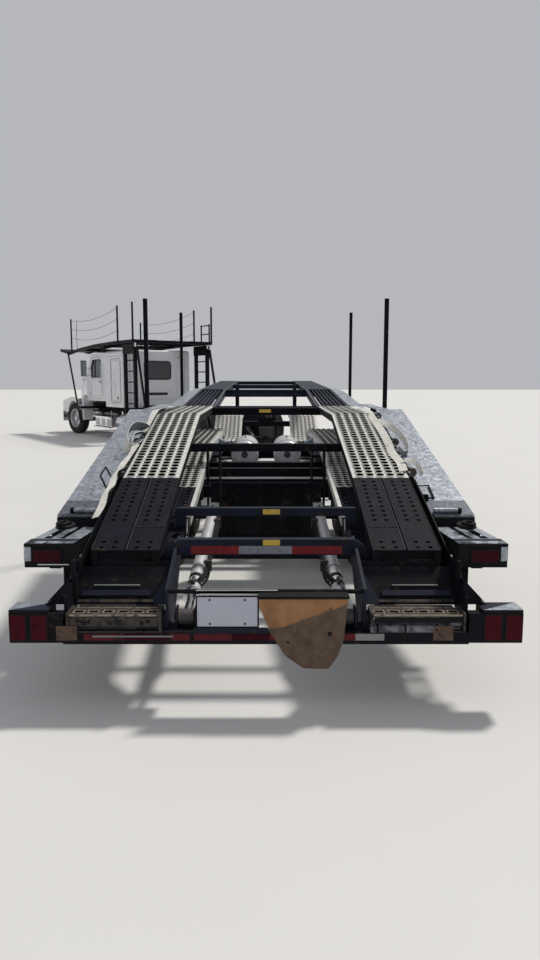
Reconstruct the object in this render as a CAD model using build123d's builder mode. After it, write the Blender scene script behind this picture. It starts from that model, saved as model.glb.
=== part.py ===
"""Car transporter: a conventional sleeper tractor with a head rack and a stinger-steered two-deck trailer."""

from build123d import *
import os
from math import hypot

os.makedirs("parts", exist_ok=True)

# Driving dimensions in millimetres. Trailer: y from the bumper face forward.
# Tractor: y from the hitch pivot forward, before it is turned at the hitch.
HITCH_Y = 13500.0
HITCH_Z = 470.0
TURN = 34.0
TRAILER_X = 2925.0
TRAILER_Y = -11650.0
RUNNING_GAP = 6.0
FIT_GAP = 1.0
SEAT_GAP = 0.3

# Trailer running gear
TRAILER_AXLES = (3050.0, 4300.0)
TRAILER_TYRE_R = 475.0
TYRE_WIDTH = 250.0
TWIN_GAP = 40.0
TRAILER_WHEEL_OUT = 1280.0

# Trailer decks, each a table of (y, z of the top surface)
LOWER_DECK = ((970.0, 820.0), (2900.0, 1120.0), (4700.0, 1140.0), (5500.0, 620.0), (10200.0, 620.0),
              (11100.0, 1010.0), (11900.0, 1020.0))
REAR_DECK = ((380.0, 740.0), (1330.0, 1020.0), (2950.0, 1380.0), (4620.0, 1400.0))
FRONT_DECK = ((4760.0, 1390.0), (7300.0, 1575.0), (12200.0, 1720.0))
RUNWAY_IN = 590.0
RUNWAY_OUT = 970.0
LOWER_RUNWAY_IN = 475.0
LOWER_RUNWAY_OUT = 1010.0
SHEET = 8.0
DECK_RAIL_W = 40.0
DECK_RAIL_H = 60.0
MAIN_RAIL_IN = 610.0
MAIN_RAIL_OUT = 690.0
MAIN_RAIL_H = 170.0

# Deck posts: (y, foot z, top z)
POST_X = 1215.0
POST_SIZE = 40.0
POSTS = ((3900.0, 1100.0, 2500.0), (7000.0, 520.0, 2660.0))

# Rear deck lift
DECK_HINGE = (4690.0, 1330.0)
CYLINDER_X = 415.0
BARREL_R = 42.0
ROD_R = 24.0
ROD_EYE = (120.0, 445.0)
BARREL_EYE = (2200.0, 660.0)
PIN_R = 18.0
EYE_R = 42.0
EYE_HALF = 40.0
LUG = (44.0, 54.0)

# Front deck lift
FRONT_HINGE = (12200.0, 1600.0)
POST_ROD_X = 1110.0
POST_ROD_TOP = 1460.0
POST_ROD_FOOT = 640.0

# Tractor
FRONT_AXLE = 9800.0
DRIVE_AXLES = (1450.0, 2760.0)
TRACTOR_TYRE_R = 515.0
FRONT_TYRE_W = 290.0
DRIVE_WHEEL_OUT = 1225.0
FRONT_WHEEL_OUT = 1215.0
KINGPIN_X = 900.0
KINGPIN_R = 34.0
STEER = 10.0
CHASSIS_X = 390.0
CHASSIS_W = 80.0
CHASSIS_Z = (720.0, 980.0)
CHASSIS_NOSE = 10650.0
SLEEPER = (5800.0, 7159.7)
SLEEPER_X = 1110.0
SLEEPER_FLOOR = 960.0
REAR_WINDOW_X = 410.0
REAR_WINDOW_Z = (1810.0, 2300.0)
CAB_BACK = 7160.0
CAB_X = 1030.0
CAB_FLOOR = 1120.0
CAB_WALL = 45.0
ROOF_Z = 2600.0
SLEEPER_ROOF_Z = 2650.0
DOOR = (7640.0, 8640.0)
DOOR_GAP = 7.0
NOSE = 10850.0
HOOD_PIVOT = (10800.0, 750.0)
HOOD_TUBE_R = 22.0
DOOR_PIVOT = (1040.0, 8645.0)
DOOR_HINGES = (1400.0, 2100.0)
BUMPER_FACE = 11050.0

# Head rack
RACK_HINGE = (10000.0, 2650.0)
RACK_X = 1250.0
RACK_REAR = 4690.0
RACK_LINE = ((RACK_REAR, 2880.0), (6200.0, 2890.0), (7600.0, 2870.0), (9000.0, 2805.0),
             (9930.0, 2720.0), (10880.0, 2850.0))
RACK_LEG = 90.0
RACK_ROD = 56.0
RACK_LEGS_Y = (4820.0, 5500.0)
LEG_X = 1150.0
FRONT_LEG_X = 1275.0
BRACE_FOOT = (4170.0, 890.0)
LADDER_Y = (4800.0, 5280.0)

TRAILER = Location((TRAILER_X, TRAILER_Y, 0))
TRACTOR = TRAILER * Location((0, HITCH_Y, 0), (0, 0, TURN))


def level(line, y):
    """Height of a deck line at one y."""
    for (y0, z0), (y1, z1) in zip(line, line[1:]):
        if y <= y1 or y1 == line[-1][0]:
            return z0 + (z1 - z0) * (y - y0) / (y1 - y0)


def keep(builder, name, place):
    """Labels a finished piece and writes it where it stands on the whole vehicle."""
    builder.part.label = name
    export_step(builder.part.moved(place), f"parts/{name}.step")


def block(x, y, z, mode=Mode.ADD):
    """A box between two x, two y and two z values, in the open part."""
    with Locations(((x[0] + x[1]) / 2, (y[0] + y[1]) / 2, (z[0] + z[1]) / 2)):
        Box(abs(x[1] - x[0]), abs(y[1] - y[0]), abs(z[1] - z[0]), mode=mode)


def side_plate(outline, x, mode=Mode.ADD):
    """A plate with a (y, z) outline between two x values, in the open part."""
    with BuildSketch(Plane.YZ.offset(x[0])) as face:
        with BuildLine():
            Polyline(*outline, close=True)
        make_face()
    extrude(face.sketch, amount=x[1] - x[0], mode=mode)


def rod(start, end, radius, mode=Mode.ADD):
    """A round bar between two points, in the open part."""
    run = Vector(*end) - Vector(*start)
    with BuildSketch(Plane(origin=start, z_dir=run)) as section:
        Circle(radius)
    extrude(section.sketch, amount=run.length, mode=mode)


def beam(start, end, width, depth, side=(1, 0, 0), mode=Mode.ADD):
    """A square-cut bar between two points, its width along side, in the open part."""
    run = Vector(*end) - Vector(*start)
    with BuildSketch(Plane(origin=start, x_dir=side, z_dir=run)) as section:
        Rectangle(width, depth)
    extrude(section.sketch, amount=run.length, mode=mode)


def ribbon(line, depth):
    """The (y, z) outline of a strip that hangs by its depth below a deck line."""
    return list(line) + [(y, z - depth) for y, z in reversed(line)]


def cut_line(line, y_from, y_to):
    """The stretch of a deck line between two y values."""
    inner = [(y, z) for y, z in line if y_from < y < y_to]
    return [(y_from, level(line, y_from))] + inner + [(y_to, level(line, y_to))]


def lowered(line, drop):
    return [(y, z - drop) for y, z in line]


# Trailer frame: main rails, cross members, rear end, axle hangers, well outriggers and tongue
RAIL_DROP = SHEET + SEAT_GAP
REAR_SLOPE = ((140.0, 480.0), (970.0, 812.0))
TONGUE_START = 11100.0
TONGUE_HALF = 150.0
BUMPER_DEPTH = 60.0
UPPER_BAR = (470.0, 530.0)
SECOND_BAR = (900.0, 960.0)
LUG_FLOOR = 397.0
END_PLATE_X = (1020.0, 1036.0)
OUTRIGGERS = (5700.0, 7000.0, 8400.0, 9800.0)
CROSS_TUBES = ((1600.0, 400.0, 500.0), (2420.0, 860.0, 960.0), (4900.0, 800.0, 900.0), (5650.0, 430.0, 530.0),
               (7000.0, 430.0, 530.0), (8400.0, 430.0, 530.0), (9800.0, 430.0, 530.0), (11100.0, 800.0, 900.0))
TANK_BEARERS = (3640.0, 4100.0)
TANK_R = 135.0
TANK_Z = 960.0
FENDER = ((900.0, 840.0), (3400.0, 1410.0))
FENDER_FRONT = ((3450.0, 1412.0), (4700.0, 1425.0))
FENDER_X = (1050.0, 1300.0)
rail_line = lowered(cut_line(REAR_SLOPE, 140.0, 969.0) + list(LOWER_DECK), RAIL_DROP)
well_line = lowered(cut_line(LOWER_DECK, 5500.0, 10200.0), RAIL_DROP)
with BuildPart() as trailer_frame:
    side_plate(ribbon(rail_line, MAIN_RAIL_H), (MAIN_RAIL_IN, MAIN_RAIL_OUT))
    # Outer stringer of the low well and its outriggers
    side_plate(ribbon(well_line, 100.0), (950.0, 1000.0))
    for y in OUTRIGGERS:
        block((MAIN_RAIL_OUT - 5, 1245.0), (y - 30, y + 30), (445.0, 520.0))
    # Side plate of the loading end
    side_plate(((BUMPER_DEPTH, 380), (BUMPER_DEPTH, 610), (430, 730), (620, 770), (620, 640), (300, 380)),
               (500.0, 516.0))
    block((515.0, 531.0), (BUMPER_DEPTH, 130.0), (400.0, 470.0))
    side_plate(((BUMPER_DEPTH, 400), (BUMPER_DEPTH, 570), (340, 700), (365, 690), (365, 600), (220, 400)),
               END_PLATE_X)
    side_plate(((200, 488), (360, 655), (366, 648), (208, 482)), (515.0, END_PLATE_X[0] + 5))
    block((515.0, MAIN_RAIL_IN + 5), (160.0, 220.0), (400.0, 450.0))
    # Gussets of the two rear cross bars
    block((440.0, 540.0), UPPER_BAR, (690.0, 745.0))
    beam((500.0, 500.0, 750.0), (560.0, 500.0, 690.0), 60.0, 60.0, side=(0, 1, 0))
    beam((545.0, 500.0, 705.0), (628.0, 500.0, 560.0), 60.0, 60.0, side=(0, 1, 0))
    block((540.0, 640.0), SECOND_BAR, (700.0, 755.0))
    block((500.0, 560.0), SECOND_BAR, (700.0, 840.0))
    # Hangers of the two axles
    for y in TRAILER_AXLES:
        side_plate(((y - 380, 985), (y - 380, 760), (y - 330, 700), (y - 270, 700), (y - 220, 760),
                    (y - 180, 985)), (MAIN_RAIL_IN + 10, MAIN_RAIL_OUT - 10))
    # Outriggers of the rear posts and of the rear deck hinge
    block((MAIN_RAIL_OUT - 5, 1245.0), (POSTS[0][0] - 40, POSTS[0][0] + 40), (1000.0, POSTS[0][1]))
    block((MAIN_RAIL_OUT - 5, 1060.0), (DECK_HINGE[0] - 40, DECK_HINGE[0] + 40), (1030.0, 1100.0))
    block((1015.0, 1060.0), (DECK_HINGE[0] - 40, DECK_HINGE[0] + 40), (1095.0, DECK_HINGE[1] - 30 - SEAT_GAP))
    # Fender brackets
    for y in (1200.0, 2100.0, 3150.0):
        under = level(LOWER_DECK, y - 30) - RAIL_DROP
        block((MAIN_RAIL_OUT - 5, 1240.0), (y - 30, y + 30), (under - 60, under))
        block((1030.0, 1240.0), (y - 8, y + 8), (under - 5, level(FENDER, y - 8) - RAIL_DROP))
    y = POSTS[0][0]
    block((1070.0, 1170.0), (y - 8, y + 8), (POSTS[0][1] - 5, level(FENDER_FRONT, y - 8) - RAIL_DROP))
    # Bearers of the air tanks
    for y in TANK_BEARERS:
        block((0.0, MAIN_RAIL_IN + 30), (y - 30, y + 30), (TANK_Z - TANK_R - 60, TANK_Z - TANK_R - SEAT_GAP))
        block((MAIN_RAIL_IN, MAIN_RAIL_IN + 30), (y - 30, y + 30), (TANK_Z - TANK_R - 60, 970.0))
    # Hanger of the low cross tube
    block((MAIN_RAIL_IN, MAIN_RAIL_IN + 30), (1560.0, 1640.0), (400.0, 760.0))
    # Arms of the upper tail lamps
    block((MAIN_RAIL_OUT - 5, 1100.0), (300.0, 360.0), (520.0, 570.0))
    block((1040.0, 1100.0), (300.0, 360.0), (565.0, 670.0))
    # Lugs of the lift rods on their floor plate, with the heads of the pins
    block((CYLINDER_X - LUG[1], 505.0), (BUMPER_DEPTH, 190.0), (LUG_FLOOR - 12, LUG_FLOOR))
    for edge in (-LUG[1], LUG[0]):
        side_plate(((BUMPER_DEPTH, LUG_FLOOR - 5), (190, LUG_FLOOR - 5), (190, 445), (160, 500), (90, 500),
                    (BUMPER_DEPTH, 445)), (CYLINDER_X + edge, CYLINDER_X + edge + LUG[1] - LUG[0]))
    for near, far in ((-LUG[1] - 8, -LUG[1] + 1), (LUG[1] - 1, LUG[1] + 8)):
        rod((CYLINDER_X + near, *ROD_EYE), (CYLINDER_X + far, *ROD_EYE), PIN_R + 8)
    # Front uprights that carry the front deck pivot
    block((580.0, 660.0), (12150.0, 12250.0), (845.0, FRONT_HINGE[1] - 30 - SEAT_GAP))
    mirror(about=Plane.YZ)
    # Cross members
    for y, low, high in CROSS_TUBES:
        block((-MAIN_RAIL_IN - 5, MAIN_RAIL_IN + 5), (y - 40, y + 40), (low, high))
    block((-500.0, 500.0), UPPER_BAR, (690.0, 780.0))
    block((-560.0, 560.0), SECOND_BAR, (835.0, 885.0))
    rod((-505.0, 90.0, 590.0), (505.0, 90.0, 590.0), 12.0)
    # Tongue and coupler
    side_plate(((TONGUE_START - 60, 800), (TONGUE_START - 60, 980), (12300, 900), (13050, 640),
                (HITCH_Y - 60, 560), (HITCH_Y - 60, 500), (12900, 480), (12200, 700)), (-TONGUE_HALF, TONGUE_HALF))
    with Locations((0, HITCH_Y, HITCH_Z + 70)):
        Cylinder(110.0, 90.0)
    block((-660.0, 660.0), (12140.0, 12260.0), (760.0, 850.0))
keep(trailer_frame, "trailer_frame", TRAILER)

# Lower runways, lying on the main rails
with BuildPart() as lower_runways:
    side_plate(ribbon(LOWER_DECK, SHEET), (LOWER_RUNWAY_IN, LOWER_RUNWAY_OUT))
    side_plate(ribbon(lowered(LOWER_DECK, SHEET), 50.0), (LOWER_RUNWAY_IN, LOWER_RUNWAY_IN + SHEET))
    mirror(about=Plane.YZ)
keep(lower_runways, "lower_runways", TRAILER)

# Rear bumper: beam, slotted step plates and the roller below each of them
STEP_X = (544.0, 1000.0)
LAMP_BOX = (1097.0, 1300.0)
PLATE_Z = (435.0, 587.0)
PLATE_X = -195.0
PLATE_BOLTS = 178.0
PLATE_HOLE_R = 3.5
with BuildPart() as rear_bumper:
    block((0.0, 1030.0), (0.0, BUMPER_DEPTH), (340.0, 400.0))
    block((1029.0, LAMP_BOX[0]), (0.0, BUMPER_DEPTH), (347.0, 500.0))
    block(STEP_X, (10.0, 130.0), (478.0, 490.0))
    block(STEP_X, (122.0, 130.0), (400.0, 480.0))
    with Locations(*[(580.0 + 76.0 * i, 62.0, 484.0) for i in range(6)]):
        Box(48.0, 40.0, 30.0, mode=Mode.SUBTRACT)
    rod((STEP_X[0], 66.0, 430.0), (STEP_X[1], 66.0, 430.0), 30.0)
    for x in (STEP_X[0] - 12, STEP_X[1]):
        block((x, x + 12), (0.0, 140.0), (400.0, 500.0))
    mirror(about=Plane.YZ)
    block((PLATE_X - 160, PLATE_X + 160), (-1.0, 5.0), (395.0, PLATE_Z[1] + 6))
    with Locations(*[(PLATE_X + x, 0.0, PLATE_Z[1] - 14) for x in (-PLATE_BOLTS / 2, PLATE_BOLTS / 2)]):
        Cylinder(PLATE_HOLE_R, 20.0, rotation=(90, 0, 0), mode=Mode.SUBTRACT)
keep(rear_bumper, "rear_bumper", TRAILER)

# Tail lamps: lower pair beside the bumper, upper pair behind the fenders
with BuildPart() as tail_lamps:
    block(LAMP_BOX, (0.0, 130.0), (347.0, 520.0))
    for x in (1149.0, 1256.0):
        block((x - 39, x + 39), (-6.0, 1.0), (363.0, 493.0))
    block((END_PLATE_X[1] + SEAT_GAP, LAMP_BOX[1]), (270.0, 400.0), (670.0, 800.0))
    block((1105.0, 1250.0), (264.0, 271.0), (700.0, 765.0))
    mirror(about=Plane.YZ)
keep(tail_lamps, "tail_lamps", TRAILER)

# Licence plate
with BuildPart() as licence_plate:
    block((PLATE_X - 152, PLATE_X + 152), (-4.0, -1.0), PLATE_Z)
    with Locations(*[(PLATE_X + x, -2.5, PLATE_Z[1] - 14) for x in (-PLATE_BOLTS / 2, PLATE_BOLTS / 2)]):
        Cylinder(PLATE_HOLE_R, 10.0, rotation=(90, 0, 0), mode=Mode.SUBTRACT)
keep(licence_plate, "licence_plate", TRAILER)

# Fender plates outside the runways, with a rolled rear edge
with BuildPart() as fender_plates:
    side_plate(ribbon(FENDER, SHEET), FENDER_X)
    rod((FENDER_X[0] + 10, 905.0, 813.0), (FENDER_X[1] - 5, 905.0, 813.0), 20.0)
    side_plate(ribbon(FENDER_FRONT, SHEET), (1060.0, 1180.0))
    mirror(about=Plane.YZ)
keep(fender_plates, "fender_plates", TRAILER)

# Deck posts, with the barrels of the front deck lift
with BuildPart() as deck_posts:
    for y, foot, top in POSTS:
        block((POST_X - POST_SIZE / 2, POST_X + POST_SIZE / 2), (y - POST_SIZE / 2, y + POST_SIZE / 2),
              (foot, top))
    y = POSTS[1][0]
    rod((POST_ROD_X, y, 540.0), (POST_ROD_X, y, POST_ROD_TOP - 60), BARREL_R)
    rod((POST_ROD_X, y, 600.0), (POST_ROD_X, y, POST_ROD_TOP), ROD_R + FIT_GAP, mode=Mode.SUBTRACT)
    block((POST_ROD_X, POST_X), (y - 30, y + 30), (520.0, 580.0))
    mirror(about=Plane.YZ)
keep(deck_posts, "deck_posts", TRAILER)

# Air tanks on their cross bearers
with BuildPart() as air_tanks:
    rod((210.0, 3560.0, TANK_Z), (210.0, 4450.0, TANK_Z), TANK_R)
    fillet(air_tanks.edges().filter_by(GeomType.CIRCLE), 45.0)
    mirror(about=Plane.YZ)
keep(air_tanks, "air_tanks", TRAILER)

# Trailer axles with their springs
DRUM_W = 60.0
DRUM_R = 160.0
TRAILER_DRUM_IN = TRAILER_WHEEL_OUT - 1.5 * TYRE_WIDTH - DRUM_W
SPRING_X = (MAIN_RAIL_IN + MAIN_RAIL_OUT) / 2
with BuildPart() as trailer_axles:
    for y in TRAILER_AXLES:
        rod((0.0, y, TRAILER_TYRE_R), (TRAILER_DRUM_IN - SEAT_GAP, y, TRAILER_TYRE_R), 62.0)
        block((SPRING_X - 40, SPRING_X + 40), (y - 480, y + 90), (TRAILER_TYRE_R + 55, TRAILER_TYRE_R + 130))
        rail_bottom = level(LOWER_DECK, y - 75) - RAIL_DROP - MAIN_RAIL_H
        rod((SPRING_X, y, TRAILER_TYRE_R + 120), (SPRING_X, y, rail_bottom - SEAT_GAP), 75.0)
        rod((SPRING_X, y - 300, TRAILER_TYRE_R + 125), (SPRING_X, y - 300, 700.0 - SEAT_GAP), 25.0)
    mirror(about=Plane.YZ)
keep(trailer_axles, "trailer_axles", TRAILER)


# Wheels: a tyre and rim profile turned about the axle, with the outer face at +x
RIM_R = 292.0
BEAD = 20.0


def tyre(centre, radius, width):
    """A tyre ring with cut shoulders, turned about the x axis at centre."""
    half = width / 2
    with BuildSketch(Plane.XY.offset(centre[2])) as section:
        with BuildLine(Plane(origin=centre)):
            Polyline((-half + 20, RIM_R), (-half, RIM_R + 40), (-half, radius - 75), (-half + 25, radius - 14),
                     (-half + 60, radius), (half - 60, radius), (half - 25, radius - 14), (half, radius - 75),
                     (half, RIM_R + 40), (half - 20, RIM_R), close=True)
        make_face()
    revolve(section.sketch, Axis(centre, (1, 0, 0)))


def rim(centre, width, dish):
    """A rim band and its wheel disc, set towards dish, turned about the x axis at centre."""
    half = width / 2 - 15
    x, y, z = centre
    with BuildSketch(Plane.XY.offset(z)) as section:
        with Locations((x, y + RIM_R - BEAD / 2 - SEAT_GAP)):
            Rectangle(2 * half, BEAD)
        with Locations((x + dish, y + (RIM_R - BEAD / 2) / 2 + 40)):
            Rectangle(14.0, RIM_R - BEAD / 2 - 80)
    revolve(section.sketch, Axis(centre, (1, 0, 0)))


def wheel(name, y, outside, side, radius, width, twin, place, axle_z):
    """Writes the tyres and the rims of one wheel, single or twin."""
    centres = [side * (outside - width / 2)]
    if twin:
        centres.append(side * (outside - 1.5 * width - TWIN_GAP))
    with BuildPart() as tyres:
        for x in centres:
            tyre((x, y, axle_z), radius, width)
    keep(tyres, f"tyres_{name}", place)
    with BuildPart() as rims:
        for i, x in enumerate(centres):
            dish = side * (-70.0 if i == 0 and twin else 40.0 if not twin else 70.0)
            rim((x, y, axle_z), width, dish)
        hub_in = side * (outside - (1.5 if twin else 0.6) * width)
        hub_out = side * (outside - 30.0)
        rod((hub_in, y, axle_z), (hub_out, y, axle_z), 110.0)
        rod((hub_in, y, axle_z), (hub_in - side * DRUM_W, y, axle_z), DRUM_R)
    keep(rims, f"rims_{name}", place)


for row, y in enumerate(TRAILER_AXLES):
    for word, side in (("left", -1), ("right", 1)):
        name = f"trailer_{('rear', 'front')[row]}_{word}"
        wheel(name, y, TRAILER_WHEEL_OUT, side, TRAILER_TYRE_R, TYRE_WIDTH, True, TRAILER, TRAILER_TYRE_R)

# Rear deck: frame, perforated tail ramps and grip runways
with BuildPart() as rear_deck_frame:
    under = lowered(REAR_DECK, SHEET + SEAT_GAP)
    for x in (RUNWAY_IN, RUNWAY_OUT - DECK_RAIL_W):
        side_plate(ribbon(under, DECK_RAIL_H), (x, x + DECK_RAIL_W))
    for y in (400.0, 870.0, 1330.0, 2000.0, 2700.0, 3400.0):
        z = level(REAR_DECK, y) - 12
        block((RUNWAY_IN + 10, RUNWAY_OUT - 10), (y + 5, y + 45), (z - 50, z - 2))
    # Drop lug for the barrel eye
    for edge in (-LUG[1], LUG[0]):
        side_plate(((2120, 1150), (2150, 660), (2200, 610), (2250, 660), (2320, 1150)),
                   (CYLINDER_X + edge, CYLINDER_X + edge + LUG[1] - LUG[0]))
    rod((CYLINDER_X - LUG[1], *BARREL_EYE), (CYLINDER_X + LUG[1], *BARREL_EYE), PIN_R)
    mirror(about=Plane.YZ)
    block((-RUNWAY_IN - 20, RUNWAY_IN + 20), (2170.0, 2250.0), (1120.0, 1180.0))
    block((-1000.0, 1000.0), (4540.0, 4620.0), (1310.0, 1385.0))
    rod((-1058.0, *DECK_HINGE), (1058.0, *DECK_HINGE), 30.0)
    block((-900.0, 900.0), (4600.0, 4680.0), (1310.0, 1350.0))
keep(rear_deck_frame, "rear_deck_frame", TRAILER)

RAMP_SPLIT = 12.0
RAMP_HOLE_R = 13.0
RAMP_PITCH = 60.0
RAMP_COLUMNS = (651.0, 721.0, 846.0, 916.0)
with BuildPart() as tail_ramps:
    ramp = cut_line(REAR_DECK, 380.0, 1326.0)
    middle = (RUNWAY_IN + RUNWAY_OUT) / 2
    side_plate(ribbon(ramp, SHEET), (RUNWAY_IN, middle - RAMP_SPLIT / 2))
    side_plate(ribbon(ramp, SHEET), (middle + RAMP_SPLIT / 2, RUNWAY_OUT))
    rows = [410.0, 410.0 + RAMP_PITCH] + [730.0 + RAMP_PITCH * i for i in range(10)]
    with Locations(*[(x, y, level(REAR_DECK, y)) for x in RAMP_COLUMNS for y in rows]):
        Cylinder(RAMP_HOLE_R, 40.0, mode=Mode.SUBTRACT)
    mirror(about=Plane.YZ)
keep(tail_ramps, "tail_ramps", TRAILER)

with BuildPart() as rear_runways:
    side_plate(ribbon(cut_line(REAR_DECK, 1330.0, 4620.0), SHEET), (RUNWAY_IN, RUNWAY_OUT))
    mirror(about=Plane.YZ)
keep(rear_runways, "rear_runways", TRAILER)


def toward(start, end, distance):
    """The (y, z) point at a distance from start towards end."""
    run = hypot(end[0] - start[0], end[1] - start[1])
    share = distance / run
    return (start[0] + (end[0] - start[0]) * share, start[1] + (end[1] - start[1]) * share)


# Lift cylinders of the rear deck, one on each side: barrels on the deck, rods to the frame
LIFT_LENGTH = hypot(BARREL_EYE[0] - ROD_EYE[0], BARREL_EYE[1] - ROD_EYE[1])
BARREL_LENGTH = 1830.0
with BuildPart() as deck_lift_barrels:
    for side in (-1, 1):
        x = side * CYLINDER_X
        near = toward(BARREL_EYE, ROD_EYE, 60.0)
        bore = toward(BARREL_EYE, ROD_EYE, 140.0)
        far = toward(BARREL_EYE, ROD_EYE, BARREL_LENGTH)
        rod((x, *near), (x, *far), BARREL_R)
        rod((x, *bore), (x, *toward(BARREL_EYE, ROD_EYE, BARREL_LENGTH + 20)), ROD_R + FIT_GAP,
            mode=Mode.SUBTRACT)
        rod((x - EYE_HALF, *BARREL_EYE), (x + EYE_HALF, *BARREL_EYE), 48.0)
        beam((x, *toward(BARREL_EYE, ROD_EYE, 30.0)), (x, *toward(BARREL_EYE, ROD_EYE, 110.0)), 60.0, 60.0)
        rod((x - 50, *BARREL_EYE), (x + 50, *BARREL_EYE), PIN_R + FIT_GAP, mode=Mode.SUBTRACT)
keep(deck_lift_barrels, "deck_lift_barrels", TRAILER)

with BuildPart() as deck_lift_rods:
    for side in (-1, 1):
        x = side * CYLINDER_X
        rod((x, *toward(BARREL_EYE, ROD_EYE, 600.0)), (x, *toward(BARREL_EYE, ROD_EYE, LIFT_LENGTH - 20)),
            ROD_R)
        rod((x - EYE_HALF, *ROD_EYE), (x + EYE_HALF, *ROD_EYE), EYE_R)
keep(deck_lift_rods, "deck_lift_rods", TRAILER)

# Front deck: rails, cross bars and ladder bars
LADDER = (4855.0, 7205.0)
OUTER_PLATE = (1000.0, 1160.0)
PIVOT_LUG = ((12130, 1650), (12160, 1580), (12240, 1580), (12240, 1640), (12190, 1660))
with BuildPart() as front_deck:
    for x in (RUNWAY_IN, RUNWAY_OUT - DECK_RAIL_W):
        side_plate(ribbon(FRONT_DECK, 90.0), (x, x + DECK_RAIL_W))
    side_plate(PIVOT_LUG, (RUNWAY_OUT - DECK_RAIL_W, RUNWAY_OUT))
    side_plate(PIVOT_LUG, (RUNWAY_IN - 25, RUNWAY_IN - 15))
    bar_gap = (RUNWAY_OUT - RUNWAY_IN - 2 * DECK_RAIL_W) / 6
    for i in range(5):
        x = RUNWAY_IN + DECK_RAIL_W + bar_gap * (i + 1)
        side_plate(ribbon(lowered(cut_line(FRONT_DECK, *LADDER), 2.0), 40.0), (x - 9, x + 9))
    side_plate(ribbon(cut_line(FRONT_DECK, 7275.0, 12105.0), SHEET + 6),
               (RUNWAY_IN + DECK_RAIL_W - 5, RUNWAY_OUT - DECK_RAIL_W + 5))
    mirror(about=Plane.YZ)
    for y in (4820.0, 7240.0, 9700.0, 12140.0):
        z = level(FRONT_DECK, y)
        block((-RUNWAY_OUT, RUNWAY_OUT), (y - 40, y + 40), (z - 80, z - 10))
    for y in (5300.0, 8300.0):
        z = level(FRONT_DECK, y)
        block((-OUTER_PLATE[1], OUTER_PLATE[1]), (y - 30, y + 30), (z - 95, z - 44.2))
    z = level(FRONT_DECK, POSTS[1][0])
    block((-1150.0, 1150.0), (6965.0, 7035.0), (POST_ROD_TOP + RUNNING_GAP, z - 44.6))
    rod((-RUNWAY_OUT, *FRONT_HINGE), (RUNWAY_OUT, *FRONT_HINGE), 30.0)
keep(front_deck, "front_deck", TRAILER)

# Galvanised plates outside the front deck, on its outriggers
with BuildPart() as outer_plates:
    plate_line = lowered(cut_line(FRONT_DECK, 4780.0, 8500.0), 42.0 - SHEET - SEAT_GAP)
    side_plate(ribbon(plate_line, SHEET), OUTER_PLATE)
    mirror(about=Plane.YZ)
keep(outer_plates, "outer_plates", TRAILER)

with BuildPart() as post_lift_rods:
    for side in (-1, 1):
        x = side * POST_ROD_X
        rod((x, POSTS[1][0], POST_ROD_FOOT), (x, POSTS[1][0], POST_ROD_TOP), ROD_R)
keep(post_lift_rods, "post_lift_rods", TRAILER)

# Tractor chassis with its stinger tail
with BuildPart() as tractor_frame:
    x_in = CHASSIS_X
    block((x_in, x_in + CHASSIS_W), (700.0, CHASSIS_NOSE), CHASSIS_Z)
    side_plate(((-120, 330), (-120, 400), (300, 400), (700, 720), (700, 980), (1150, 980), (1150, 760),
                (800, 420), (500, 330)), (170.0, 200.0))
    mirror(about=Plane.YZ)
    for y in (760.0, 2100.0, 3500.0, 5100.0, 6900.0, 8600.0, 10560.0):
        block((-x_in - 5, x_in + 5), (y - 45, y + 45), (760.0, 940.0))
    block((-205.0, 205.0), (-120.0, 600.0), (330.0, 400.0))
    block((-470.0, 470.0), (700.0, 760.0), (720.0, 980.0))
    rod((0, 0, 335.0), (0, 0, HITCH_Z + 25 - SEAT_GAP), 60.0)
    # Ears under the hood's pivot tube
    for side in (-1, 1):
        block((side * x_in, side * (x_in + CHASSIS_W)), (CHASSIS_NOSE - 5, HOOD_PIVOT[0] + 30),
              (CHASSIS_Z[0], HOOD_PIVOT[1] - HOOD_TUBE_R - SEAT_GAP))
keep(tractor_frame, "tractor_frame", TRACTOR)

with BuildPart() as engine_block:
    block((-360.0, 360.0), (9050.0, 10300.0), (CHASSIS_Z[1] + SEAT_GAP, 1600.0))
    block((-395.0, 395.0), (9200.0, 9300.0), (CHASSIS_Z[1] + SEAT_GAP, 1100.0))
keep(engine_block, "engine_block", TRACTOR)

# Cab: a hollow shell with door and window openings
WINDSHIELD_FOOT = (8960.0, 1930.0)
CAB_PROFILE = ((CAB_BACK, CAB_FLOOR), (CAB_BACK, ROOF_Z - 60), (CAB_BACK + 60, ROOF_Z), (8480.0, ROOF_Z),
               (8580.0, ROOF_Z - 40), WINDSHIELD_FOOT, (8990.0, 1850.0), (8990.0, CAB_FLOOR))
CAB_INSIDE = ((CAB_BACK - 20, CAB_FLOOR + 60), (CAB_BACK - 20, ROOF_Z - 60), (8470.0, ROOF_Z - 60),
              (8540.0, ROOF_Z - 90), (8915.0, 1915.0), (8940.0, 1850.0), (8940.0, CAB_FLOOR + 60))
DOOR_OUTLINE = ((DOOR[0], CAB_FLOOR + 80), (DOOR[0], ROOF_Z - 110), (8500.0, ROOF_Z - 110), (8640.0, 2200.0),
                (8640.0, CAB_FLOOR + 80))
WINDOW_OUTLINE = ((DOOR[0] + 90, 1860.0), (DOOR[0] + 90, ROOF_Z - 190), (8430.0, ROOF_Z - 190), (8560.0, 2190.0),
                  (8560.0, 1860.0))
DOOR_THICK = 50.0
WINDSHIELD_TOP = (8580.0, ROOF_Z - 40)
SCREEN_X = (60.0, CAB_X - 110)


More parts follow.
